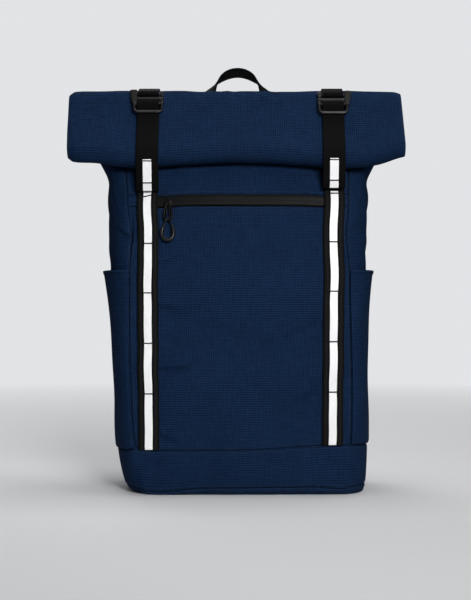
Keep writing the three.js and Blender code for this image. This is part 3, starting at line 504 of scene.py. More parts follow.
@dataclass(frozen=True)
class Body:
    """The bag's one body surface, from which every panel is cut."""

    front_crown: float = 4.0
    back_crown: float = 2.0
    front_corner: float = 0.1
    side_belly: float = 0.55

    def column(self, name: str, z: Array) -> Array:
        """A column of the sections at the heights z."""
        return smooth_between(SECTIONS[:, 0], SECTIONS[:, SECTION_COLUMNS.index(name)], z)

    def outline(self, u: Array, z: Array) -> Array:
        """Points of the plain body.

        The front and back are parabolas across, and a side is the cubic whose middle control points lie
        out at (side_half - (front_half + back_half) / 8) / 0.75.

        Args:
            u: 0 to 1 along the front, 1 to 2 the right side, 2 to 3 the back, 3 to 4 the left side.
            z: Height.

        Returns:
            Points with x, y, z on the last axis.
        """
        u, z = np.broadcast_arrays(np.asarray(u, float), np.asarray(z, float))
        lean, front_half, side_half, back_half, front, back = (
            self.column(name, z) for name in SECTION_COLUMNS[1:]
        )
        around = np.mod(u, 4.0)
        side = np.floor(around)
        t = around - side
        s = 2 * t - 1
        bow = 1 - s * s
        k = np.where(side == 1, t, 1 - t)
        belly = (side_half - (front_half + back_half) / 8) / 0.75
        depth = back - front
        w0, w1, w2, w3 = (1 - k) ** 3, 3 * k * (1 - k) ** 2, 3 * k * k * (1 - k), k ** 3
        out = w0 * front_half + (w1 + w2) * belly + w3 * back_half
        deep = (w0 * front + w1 * (front + self.front_corner * depth)
                + w2 * (front + self.side_belly * depth) + w3 * back)
        x = np.select([side == 0, side == 1, side == 2],
                      [lean + s * front_half, lean + out, lean - s * back_half], lean - out)
        y = np.select([side == 0, side == 2],
                      [front - self.front_crown * bow, back + self.back_crown * bow], deep)
        return np.stack([x, y, z], axis=-1)

    def around(self, u: Array, z: Array) -> Array:
        """Unit direction along which u grows."""
        return unit(self.outline(np.asarray(u) + 0.015, z) - self.outline(np.asarray(u) - 0.015, z))

    def outward(self, u: Array, z: Array) -> Array:
        """Unit direction out of the body."""
        z = np.asarray(z, float)
        up = self.outline(u, z + 2.0) - self.outline(u, np.maximum(z - 2.0, 0.0))
        return unit(np.cross(self.around(u, z), up))

    def relief(self, u: Array, z: Array) -> Array:
        """Dents and creases of the cloth, and a slow waver of about half a millimetre."""
        u, z = np.broadcast_arrays(np.asarray(u, float), np.asarray(z, float))
        height = np.zeros(u.shape)
        for du, dz, half_u, half_z, depth in DENTS:
            height -= depth * np.exp(-2 * (((u - du) / half_u) ** 2 + ((z - dz) / half_z) ** 2))
        for crease in CREASES:
            height += crease.height(u, z)
        waver = (np.sin(u * 9.0 + z / 31.0) + np.sin(u * 15.0 - z / 19.0 + 1.7)
                 + np.sin(u * 4.0 + z / 12.5 + 0.6))
        return height + 0.17 * waver

    def settled(self, u: Array, z: Array) -> Array:
        """How far the cloth lies off its cut place within its own surface.

        The front seams drift sideways as their table says, the zip sags at its two ends, the base seam
        rises to the right, and the bottom seam slumps at the front corners.

        Args:
            u: Place round the body.
            z: Height.

        Returns:
            Moves with x, y, z on the last axis.
        """
        left = np.where(u > 3.0, u - 4.0, u)
        drift = (smooth_between(SEAM_DRIFT[:, 0], SEAM_DRIFT[:, 1], z) * bell(left, 0.07)
                 + smooth_between(SEAM_DRIFT[:, 0], SEAM_DRIFT[:, 2], z) * bell(u - 1.0, 0.07))
        zip_sag = 2.2 * bell(u - 0.13, 0.09) + 1.2 * bell(u - 0.9, 0.09)
        base_rise = 6.2 * bell(u - 0.95, np.where(u < 0.95, 0.28, 0.75)) + 2.4 * bell(left, 0.06)
        slump = 4.6 * bell(left - 0.06, 0.15) + 2.6 * bell(u - 0.97, 0.08)
        rise = (base_rise * bell(z - BASE_SEAM, 34.0) - zip_sag * bell(z - ZIP_MIDDLE, 16.0)
                - slump * bell(z - FLOOR_SEAM, 9.0))
        move = self.around(u, z) * drift[..., None]
        move[..., 2] += np.maximum(rise, -0.9 * z)
        return move

    def cloth(self, u: Array, z: Array, out: Array = 0.0) -> Array:
        """Points of the settled, creased cloth, moved out by the given distance."""
        u, z = np.broadcast_arrays(np.asarray(u, float), np.asarray(z, float))
        return (self.outline(u, z) + self.settled(u, z)
                + self.outward(u, z) * (out + self.relief(u, z))[..., None])

    def laid(self, u: Array, z: Array, off: float) -> Array:
        """Points off the plain body by the given distance."""
        return self.outline(u, z) + self.outward(u, z) * off

    def thread_line(self, u: Array, z: Array, out: Array) -> Line:
        """Points and normals of a row of stitches on cloth that lies out by the given distance."""
        return self.cloth(u, z, out + THREAD_LIFT), self.outward(u, z)

    def front_u(self, x: Array, z: Array) -> Array:
        """Place on the front of a point at x."""
        return 0.5 + (x - self.column("lean", z)) / (2 * self.column("front_half", z))

    def back_u(self, x: Array, z: Array) -> Array:
        """Place on the back of a point at x."""
        return 2.5 - (x - self.column("lean", z)) / (2 * self.column("back_half", z))


BODY = Body()


# Finishes


def rgba(colour: Sequence[float], factor: float = 1.0) -> tuple[float, float, float, float]:
    """A colour with full alpha, brightened by a factor."""
    return (colour[0] * factor, colour[1] * factor, colour[2] * factor, 1.0)


class Nodes:
    """Builds the nodes of one material."""

    def __init__(self, name: str) -> None:
        """Starts a material with a single principled shader.

        Args:
            name: Name of the material.
        """
        self.material = bpy.data.materials.new(name)
        self.material.use_nodes = True
        self.tree = self.material.node_tree
        self.shader = self.tree.nodes["Principled BSDF"]

    def node(self, kind: str, **settings: object) -> bpy.types.Node:
        """A new node with the given properties."""
        made = self.tree.nodes.new(kind)
        for key, value in settings.items():
            setattr(made, key, value)
        return made

    def feed(self, socket: Socket, value: object) -> None:
        """Sets a socket to a number or colour, or links it to another socket."""
        if isinstance(value, Socket):
            self.tree.links.new(value, socket)
        else:
            socket.default_value = value

    def fill(self, made: bpy.types.Node, **values: object) -> bpy.types.Node:
        """Feeds a node's sockets by name, with underscores for spaces."""
        for key, value in values.items():
            self.feed(made.inputs[key.replace("_", " ")], value)
        return made

    def math(self, operation: str, a: object, b: object = 0.0) -> Socket:
        """Result of a math node on one or two values."""
        made = self.node("ShaderNodeMath", operation=operation)
        self.feed(made.inputs[0], a)
        self.feed(made.inputs[1], b)
        return made.outputs[0]

    def total(self, *terms: tuple[object, float]) -> Socket:
        """Sum of values, each times its weight."""
        whole, *rest = [self.math("MULTIPLY", value, weight) for value, weight in terms]
        for part in rest:
            whole = self.math("ADD", whole, part)
        return whole

    def blend(self, share: object, low: object, high: object) -> Socket:
        """Colour between two colours."""
        made = self.node("ShaderNodeMix", data_type="RGBA")
        return self.fill(made, Factor=share, A=low, B=high).outputs["Result"]

    def rescale(self, value: object, low: float, high: float, to_low: float = 0.0,
                to_high: float = 1.0) -> Socket:
        """Value carried from one range to another and held inside it."""
        made = self.node("ShaderNodeMapRange")
        self.fill(made, From_Min=low, From_Max=high, To_Min=to_low, To_Max=to_high, Value=value)
        return made.outputs["Result"]

    def coordinates(self, kind: str = "UV") -> Socket:
        """The flat map of the piece, or its Object coordinates."""
        return self.node("ShaderNodeTexCoord").outputs[kind]

    def split(self, vector: Socket) -> tuple[Socket, Socket]:
        """The first two coordinates of a vector."""
        parts = self.node("ShaderNodeSeparateXYZ")
        self.feed(parts.inputs[0], vector)
        return parts.outputs["X"], parts.outputs["Y"]

    def noise(self, vector: Socket, scale: float, detail: float = 2.0) -> Socket:
        """Smooth noise between 0 and 1."""
        made = self.node("ShaderNodeTexNoise")
        return self.fill(made, Scale=scale, Detail=detail, Vector=vector).outputs["Fac"]

    def streaks(self, vector: Socket, rates: Sequence[float], detail: float = 2.0) -> Socket:
        """Smooth noise that changes at its own rate along each axis."""
        made = self.fill(self.node("ShaderNodeMapping"), Scale=rates, Vector=vector)
        return self.noise(made.outputs["Vector"], 1.0, detail)

    def bump(self, height: Socket, distance: float, strength: float) -> None:
        """Lets a height in 0 to 1 stand out of the surface by a distance in metres."""
        made = self.fill(self.node("ShaderNodeBump"), Strength=strength, Distance=distance, Height=height)
        self.feed(self.shader.inputs["Normal"], made.outputs["Normal"])

    def set(self, **values: object) -> bpy.types.Material:
        """Sets the shader's sockets by name and hands the material over."""
        self.fill(self.shader, **values)
        return self.material


@dataclass(frozen=True)
class Finish:
    """A finish with its name and its main colour."""

    name: str
    colour: Colour

    def tint(self, factor: float = 1.0) -> tuple[float, float, float, float]:
        """The main colour, brightened by a factor."""
        return rgba(self.colour, factor)


@dataclass(frozen=True)
class Canvas(Finish):
    """Coated basket-weave canvas with uneven threads, painted shade between its threads and paler worn edges.
    """

    pitch: tuple[float, float] = (0.0021, 0.0026)  # of the bundles across and along
    strands: float = 3.0        # threads in a bundle
    crown: float = 0.6          # power that flattens a thread's crown
    slub: tuple[float, float] = (60.0, 900.0)      # rates of uneven yarn along and across a thread
    relief: float = 0.0003
    roughness: float = 0.8
    depths: tuple[float, float] = (0.03, 2.1)      # painted shade between the threads and painted light on top of them
    worn_grey: float = 0.012    # added to the colour where the cloth is rubbed

    def make(self) -> bpy.types.Material:
        """Weave height |sin u| * |sin v|, lifted where warp lies over weft, ribbed and tinted by its yarns
        and by painted shade that follows the weave height.

        Returns:
            The material.
        """
        n = Nodes(self.name)
        flat = n.coordinates()
        turns = [n.math("MULTIPLY", part, math.pi / pitch) for part, pitch in zip(n.split(flat), self.pitch)]
        u, v = (n.math("SINE", turn) for turn in turns)
        over = n.math("GREATER_THAN", n.math("MULTIPLY", u, v), 0.0)
        warp, weft = (n.math("POWER", n.math("ABSOLUTE", wave), self.crown) for wave in (u, v))
        crossing = n.math("MULTIPLY", warp, weft)
        thread = n.math("ADD", n.math("MULTIPLY", over, n.math("MULTIPLY", warp, 0.28)), crossing)
        ends, picks = (
            n.math("ABSOLUTE", n.math("SINE", n.math("MULTIPLY", turn, self.strands))) for turn in turns
        )
        ribs = n.math("ADD", n.math("MULTIPLY", over, n.math("SUBTRACT", ends, picks)), picks)
        slow, fast = self.slub
        slubs = n.math("ADD", n.streaks(flat, (slow, fast, fast)), n.streaks(flat, (fast, slow, slow)))
        n.bump(n.total((thread, 0.45), (slubs, 0.3), (ribs, 0.3)), self.relief, 0.9)
        place = n.coordinates("Object")
        cloud = n.noise(place, 14.0, 3.0)
        # Tone: random yarn slubs and cloud, plus painted shade from the weave height, dark between threads
        # and light on their crowns.
        tone_and_painted_shading = n.total((slubs, 0.36), (cloud, 0.18), (crossing, 0.46), (ribs, 0.24))
        cloth = n.blend(n.rescale(tone_and_painted_shading, 0.45, 1.24), *(self.tint(depth) for depth in self.depths))
        worn = n.node("ShaderNodeAttribute", attribute_name="wear").outputs["Fac"]
        rubbed = n.math("MULTIPLY", worn, n.rescale(n.noise(place, 420.0), 0.42, 0.75, 0.0, 0.8))
        return n.set(
            Base_Color=n.blend(rubbed, cloth, rgba([self.worn_grey + c for c in self.colour], 1.25)),
            Roughness=n.rescale(slubs, 0.6, 1.4, self.roughness - 0.08, self.roughness + 0.08),
            Specular_IOR_Level=0.02,
        )


@dataclass(frozen=True)
class Webbing(Finish):
    """Dense nylon webbing with ribs along its length and a fine cross weave, painted shade in its hollows and
    a painted highlight along raised bands.
    """

    rib: float = 0.0017
    weft: float = 0.0008
    middle: float = 0.0124      # the face's middle on the flat map
    band: float = 0.0           # a raised band's distance from it, or 0 for plain webbing
    # width of the painted highlight about each raised band
    band_width: float = 0.0026
    plain_depths: tuple[float, float] = (0.6, 1.7)     # painted shade in and painted light on the ribs of plain webbing
    banded_depths: tuple[float, float] = (0.35, 2.9)   # and of webbing with raised bands

    def make(self) -> bpy.types.Material:
        """Rib height sin(across) with a cross weave that shifts by half a thread from rib to rib; the colour
        follows that height as painted shade.

        Returns:
            The material.
        """
        n = Nodes(self.name)
        flat = n.coordinates()
        x, y = n.split(flat)
        rib = n.math("SINE", n.math("MULTIPLY", x, 2 * math.pi / self.rib))
        shift = n.math("MULTIPLY", n.math("GREATER_THAN", rib, 0.0), math.pi)
        pick = n.math("SINE", n.math("ADD", n.math("MULTIPLY", y, 2 * math.pi / self.weft), shift))
        height = n.total((rib, 0.35), (pick, 0.2))
        fuzz = n.streaks(flat, (1500.0, 300.0, 1.0))
        n.bump(n.math("ADD", height, n.math("MULTIPLY", fuzz, 0.3)), 0.00022, 0.8)
        # Painted shade: darker where the weave height is low, lighter on the ribs, with random fuzz.
        tone_and_painted_shading = n.math("ADD", n.rescale(height, -0.5, 0.5, 0.0, 0.6), n.math("MULTIPLY", fuzz, 0.5))
        depths = self.plain_depths
        # Painted highlight: paler along the middle of each raised band, darker beside it.
        if self.band:
            off = n.math("ABSOLUTE", n.math("SUBTRACT", x, self.middle))
            away = n.math("ABSOLUTE", n.math("SUBTRACT", off, self.band))
            tone_and_painted_shading = n.math("MULTIPLY", tone_and_painted_shading, n.rescale(away, 0.0, self.band_width, 1.5, 0.35))
            depths = self.banded_depths
        return n.set(
            Base_Color=n.blend(tone_and_painted_shading, *(self.tint(depth) for depth in depths)),
            Roughness=0.66,
            Specular_IOR_Level=0.04,
        )


@dataclass(frozen=True)
class ReflectiveTape(Finish):
    """White reflective tape: a satin face with fine beads and faint handling creases."""

    beads: float = 2600.0       # glass beads to a metre

    def make(self) -> bpy.types.Material:
        """Bead height from small cells, with a slow ripple along the tape.

        Returns:
            The material.
        """
        n = Nodes(self.name)
        flat = n.coordinates()
        beads = n.fill(n.node("ShaderNodeTexVoronoi"), Scale=self.beads, Vector=flat).outputs["Distance"]
        ripple = n.streaks(flat, (60.0, 170.0, 1.0))
        n.bump(n.math("ADD", n.math("MULTIPLY", beads, 0.12), ripple), 0.0005, 0.35)
        smudge = n.rescale(n.streaks(flat, (90.0, 40.0, 1.0), 4.0), 0.35, 0.75)
        return n.set(
            Base_Color=n.blend(smudge, self.tint(), self.tint(0.9)),
            Roughness=n.rescale(ripple, 0.2, 0.8, 0.34, 0.5),
            Specular_IOR_Level=0.4,
        )


@dataclass(frozen=True)
class CoatedTape(Finish):
    """Laminated zip tape: a satin film over ribs that run along it."""

    rib: float = 0.0011

    def make(self) -> bpy.types.Material:
        """Rib height sin(across), under noise drawn out along the tape.

        Returns:
            The material.
        """
        n = Nodes(self.name)
        flat = n.coordinates()
        across = n.split(flat)[1]
        rib = n.math("SINE", n.math("MULTIPLY", across, 2 * math.pi / self.rib))
        drawn = n.streaks(flat, (70.0, 900.0, 1.0))
        n.bump(n.math("ADD", n.math("MULTIPLY", rib, 0.2), drawn), 0.00018, 0.6)
        return n.set(
            Base_Color=n.blend(drawn, self.tint(0.7), self.tint(1.35)),
            Roughness=n.rescale(drawn, 0.3, 0.7, 0.4, 0.54),
            Specular_IOR_Level=0.08,
        )


@dataclass(frozen=True)
class Hardware(Finish):
    """Metal or moulded parts: a satin skin with fine grain and small scuffs."""

    metal: float
    roughness: float
    grain: float = 700.0

    def make(self) -> bpy.types.Material:
        """Grain noise for bump and roughness, and sparse paler scuffs.

        Returns:
            The material.
        """
        n = Nodes(self.name)
        place = n.coordinates("Object")
        grain = n.noise(place, self.grain, 3.0)
        scuff = n.rescale(n.noise(place, 160.0, 4.0), 0.6, 0.74, 0.0, 0.5)
        n.bump(grain, 0.00006, 0.5)
        return n.set(
            Base_Color=n.blend(scuff, self.tint(), self.tint(1.7)),
            Roughness=n.rescale(grain, 0.3, 0.7, self.roughness - 0.06, self.roughness + 0.06),
            Metallic=self.metal,
            Specular_IOR_Level=0.3,
        )


@dataclass(frozen=True)
class Thread(Finish):
    """Twisted sewing thread."""

    def make(self) -> bpy.types.Material:
        """Strands from fine noise on the thread.

        Returns:
            The material.
        """
        n = Nodes(self.name)
        strand = n.noise(n.coordinates("Object"), 1800.0, 1.0)
        n.bump(strand, 0.0001, 0.5)
        return n.set(
            Base_Color=n.blend(strand, self.tint(0.7), self.tint(1.3)),
            Roughness=0.6,
            Specular_IOR_Level=0.12,
        )


@dataclass(frozen=True)
class Paper(Finish):
    """Pale matt paper of the floor, which fades into the pale air far from the bag."""

    air: Colour
    near: float = 0.45          # metres from the bag where the fade starts
    far: float = 2.0            # and where only air is left

    def make(self) -> bpy.types.Material:
        """A faint cloud of tone over matt paper, then the colour of the air between two distances.

        Returns:
            The material.
        """
        n = Nodes(self.name)
        place = n.coordinates("Object")
        away = n.node("ShaderNodeVectorMath", operation="LENGTH")
        n.feed(away.inputs[0], place)
        haze = n.rescale(away.outputs["Value"], self.near, self.far)
        paper = n.blend(n.noise(place, 1.5), self.tint(0.985), self.tint())
        seen = n.node("ShaderNodeLightPath").outputs["Is Camera Ray"]
        return n.set(
            Base_Color=n.blend(haze, paper, rgba(self.air, 0.0)),
            Roughness=0.9,
            Specular_IOR_Level=0.0,
            Emission_Color=rgba(self.air),
            Emission_Strength=n.math("MULTIPLY", haze, seen),
        )


NAVY = (0.0058, 0.0166, 0.0446)
PALE_AIR = (0.76, 0.77, 0.79)
BLACK = (0.0049, 0.0049, 0.0049)
DEEP_BLACK = (0.0026, 0.0026, 0.0026)


class Finishes:
    """Every finish of the bag, made once."""

    def __init__(self) -> None:
        """Makes the materials."""
        self.canvas = Canvas("navy_canvas", NAVY).make()
        self.webbing = Webbing("black_webbing", DEEP_BLACK).make()
        # ridged webbing, with a painted highlight along its raised bands
        self.ridged_webbing = Webbing("ridged_webbing", BLACK, band=0.0082).make()
        self.reflective = ReflectiveTape("reflective_tape", (0.955, 0.955, 0.96)).make()
        self.zip = CoatedTape("coated_zip_tape", (0.0036, 0.0035, 0.0034)).make()
        self.gunmetal = Hardware("gunmetal", (0.042, 0.041, 0.04), 1.0, 0.36).make()
        self.blackened = Hardware("blackened_steel", (0.014, 0.0135, 0.013), 1.0, 0.42).make()
        self.plastic = Hardware("black_plastic", (0.005, 0.005, 0.0052), 0.0, 0.34).make()
        self.navy_thread = Thread("navy_thread", (0.0036, 0.0128, 0.036)).make()
        self.black_thread = Thread("black_thread", (0.0016, 0.0016, 0.0017)).make()
        self.paper = Paper("pale_paper", (0.76, 0.765, 0.775), PALE_AIR).make()


@dataclass
class Workroom:
    """Takes each finished piece, gives it its material, and keeps count."""

    finishes: Finishes
    made: list[bpy.types.Object] = field(default_factory=list)

    def take(self, piece: bpy.types.Object, material: bpy.types.Material, slot: Slot, *nodes: str) -> None:
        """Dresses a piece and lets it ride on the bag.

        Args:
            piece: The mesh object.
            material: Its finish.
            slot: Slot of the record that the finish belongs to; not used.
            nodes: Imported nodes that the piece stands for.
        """
        piece.data.materials.clear()
        piece.data.materials.append(material)
        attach(piece, "root")
        if nodes:
            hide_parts(*nodes)
        self.made.append(piece)
        LOG.info("piece %s, %d faces", piece.name, len(piece.data.polygons))

    def canvas(self, surface: Surface, node: str, wall: float, offset: float = -1.0) -> None:
        """Makes the canvas piece of a node from a single sheet, with its wall in millimetres."""
        piece = surface.make(f"{node}_cloth")
        thicken(piece, wall, offset)
        self.take(piece, self.finishes.canvas, Slot.CANVAS, node)

    def webbing(self, surface: Surface, node: str, ridged: bool = False) -> None:
        """Makes the webbing piece of a node, plain or with raised bands."""
        weave = self.finishes.ridged_webbing if ridged else self.finishes.webbing
        self.take(surface.make(f"{node}_woven"), weave, Slot.WEBBING, node)

    def tape(self, surface: Surface, node: str) -> None:
        """Makes the reflective piece of a node."""
        self.take(surface.make(f"{node}_woven"), self.finishes.reflective, Slot.REFLECTIVE, node)


# Stitches


@dataclass(frozen=True)
class Stitch:
    """A short thread that dips into the cloth at both ends."""

    length: float = 2.6
    pitch: float = 3.6
    radius: float = 0.22
    sides: int = 6
    rings: int = 5

    def sew(self, name: str, lines: Sequence[Line]) -> bpy.types.Object:
        """Stitches along lines: ring centre = place + along * s, sunk by a parabola towards both ends.

        Args:
            name: Name of the piece.
            lines: (points, normals) of each line, both (n, 3).

        Returns:
            One object with every stitch.
        """
        places, alongs, normals = [], [], []
        for points, normal in lines:
            far = lengths_along(points)
            count = max(int(far[-1] // self.pitch), 1)
            at = (np.arange(count) + 0.5) * far[-1] / count
            places.append(read_along(at, far, points))
            alongs.append(unit(read_along(at, far, tangents(points))))
            normals.append(unit(read_along(at, far, normal)))
        return self.place(name, np.concatenate(places), np.concatenate(alongs), np.concatenate(normals))

    def bars(self, tacks: Sequence[Tack], reach: float) -> Tack:
        """Dense slanting stitches along each bar tack.

        Args:
            tacks: Place, direction across and normal of each.
            reach: Length of a tack.

        Returns:
            Middles, directions and normals of the stitches.
        """
        count = int(reach / self.pitch)
        s = np.linspace(-reach / 2, reach / 2, count)
        lean = np.where(np.arange(count) % 2 == 0, 0.5, -0.5)
        middles, ways, normals = [], [], []
        for place, across, out in tacks:
            along = np.cross(out, across)
            middles.append(place + across * s[:, None])
            ways.append(unit(across * 0.9 + along * lean[:, None]))
            normals.append(np.tile(out, (count, 1)))
        return np.concatenate(middles), np.concatenate(ways), np.concatenate(normals)

    def place(self, name: str, places: Array, along: Array, normal: Array) -> bpy.types.Object:
        """Puts one stitch at each place.

        Args:
            name: Name of the piece.
            places: (n, 3) middles.
            along: (n, 3) unit directions of the threads.
            normal: (n, 3) unit directions out of the cloth.

        Returns:
            One object with every stitch.
        """
        count = len(places)
        s = np.linspace(-1.0, 1.0, self.rings)
        girth = np.sqrt(np.maximum(1 - 0.75 * s ** 4, 0.05))
        turn = np.linspace(0.0, 2 * math.pi, self.sides, endpoint=False)
        side = np.cross(along, normal)
        lift = self.radius * (0.55 - 1.15 * s ** 2)
        centre = (places[:, None] + along[:, None] * (s * self.length / 2)[:, None]
                  + normal[:, None] * lift[:, None])
        ring = side[:, None, None] * np.cos(turn)[:, None] + normal[:, None, None] * np.sin(turn)[:, None]
        points = centre[:, :, None] + ring * (self.radius * girth)[:, None, None]
        quads, row, column = grid_faces(self.rings, self.sides, True)
        size = self.rings * self.sides
        base = (np.arange(count) * size)[:, None]
        surface = Surface(size=count * size)
        surface.points.append(points.reshape(-1, 3))
        surface.wear.append(np.zeros(count * size))
        surface.quads.append((base[..., None] + quads[None]).reshape(-1, 4))
        maps = np.stack([column * 0.3, row * 0.6], axis=-1)
        surface.quad_maps.append(np.tile(maps, (count, 1, 1)))
        ends = np.stack([np.arange(self.sides)[::-1], size - self.sides + np.arange(self.sides)])
        first, middle, last = ends[:, :1], ends[:, 1:-1], ends[:, 2:]
        fans = np.stack([np.broadcast_to(first, middle.shape), middle, last], axis=-1).reshape(-1, 3)
        surface.fans.append((base[..., None] + fans[None]).reshape(-1, 3))
        return surface.make(name)


TOPSTITCH = Stitch()
TACK = Stitch(length=1.9, pitch=0.62, radius=0.62)


# Panels


FURROW_HALF = 0.9           # half width of the furrow under a row of stitches


class Edge(Enum):
    """Edges of a panel: the low and the high one, and those where its span starts and ends."""

    LOW = "low"
    HIGH = "high"
    START = "start"
    END = "end"


@dataclass
class Panel:
    """A piece of cloth between two places round the body and two heights."""

    node: str
    span: tuple[float, float]
    rise: tuple[float, float]
    sewn: tuple[Edge, ...] = ()  # edges with topstitching
    wall: float = 1.5
    step: float = 2.6
    tuck: float = 1.9           # how far its edges turn in at the seams
    seam: float = 1.35          # width of that turn
    allowance: float = 3.4      # depth of the seam allowance behind each edge
    groove: float = 5.2         # topstitching this far in from an edge
    furrow: float = 0.3         # how deep that pulls the cloth in

    def width(self) -> float:
        """Length round the body at mid height."""
        u = np.linspace(*self.span, 60)
        return float(lengths_along(BODY.outline(u, np.full(60, sum(self.rise) / 2)))[-1])

    def edge_gap(self, u: Array, z: Array) -> Array:
        """Distance in from the nearest edge."""
        wide = self.width()
        share = (u - self.span[0]) / (self.span[1] - self.span[0])
        gaps = [share * wide, (1 - share) * wide, z - self.rise[0], self.rise[1] - z]
        return np.minimum.reduce([np.maximum(gap, 0.0) for gap in gaps])

    def out(self, u: Array, z: Array) -> Array:
        """Turned-in edges: -tuck * bell(gap, seam), and a soft groove under each row of stitches."""
        gap = self.edge_gap(u, z)
        pulled = self.furrow * bell(gap - self.groove, FURROW_HALF) * bool(self.sewn)
        return -self.tuck * bell(gap, self.seam) - pulled

    def surface(self) -> Surface:
        """The panel as a grid of cloth points.

        Returns:
            A single sheet whose face looks outwards.
        """
        wide = self.width()
        places = doubled(fine_edges(wide, self.step))
        heights = doubled(self.rise[0] + fine_edges(self.rise[1] - self.rise[0], self.step))
        u = self.span[0] + (self.span[1] - self.span[0]) * places / wide
        uu, zz = np.meshgrid(u, heights)
        out = self.out(uu, zz)
        out[[0, -1]] = out[:, [0, -1]] = -self.tuck - self.allowance
        wear = bell(self.edge_gap(uu, zz) - 1.6, 1.6) * 0.8
        return Surface().add_grid(BODY.cloth(uu, zz, out), places, heights, wear=wear)

    def stitch_lines(self) -> list[Line]:
        """Lines of topstitching along the sewn edges.

        Returns:
            (points, normals) of each line.
        """
        in_u = self.groove / self.width() * (self.span[1] - self.span[0])
        u0, u1 = self.span[0] + in_u, self.span[1] - in_u
        z0, z1 = self.rise[0] + self.groove, self.rise[1] - self.groove
        corners = {
            Edge.LOW: (u0, u1, z0, z0),
            Edge.HIGH: (u0, u1, z1, z1),
            Edge.START: (u0, u0, z0, z1),
            Edge.END: (u1, u1, z0, z1),
        }
        lines = []
        for edge in self.sewn:
            ua, ub, za, zb = corners[edge]
            u, z = np.linspace(ua, ub, 160), np.linspace(za, zb, 160)
            lines.append(BODY.thread_line(u, z, self.out(u, z)))
        return lines

    def build(self, room: Workroom) -> list[Line]:
        """Makes the panel and gives its lines of topstitching."""
        room.canvas(self.surface(), self.node, self.wall)
        return self.stitch_lines()


SEAM_U = 0.0012
FRONT_U = (SEAM_U, 1 - SEAM_U)
RIGHT_U = (1 + SEAM_U * 2, 2 - SEAM_U * 2)
BACK_U = (2 + SEAM_U, 3 - SEAM_U)
LEFT_U = (3 + SEAM_U * 2, 4 - SEAM_U * 2)
STRAP_TOP_X, STRAP_ASIDE = 106.0, 0.3


def zip_ends() -> tuple[float, float]:
    """Places on the front where the zip runs under the two straps."""
    left, right = BODY.front_u(np.array([-STRAP_TOP_X, STRAP_TOP_X]), np.full(2, ZIP_MIDDLE))
    return float(left), float(right)


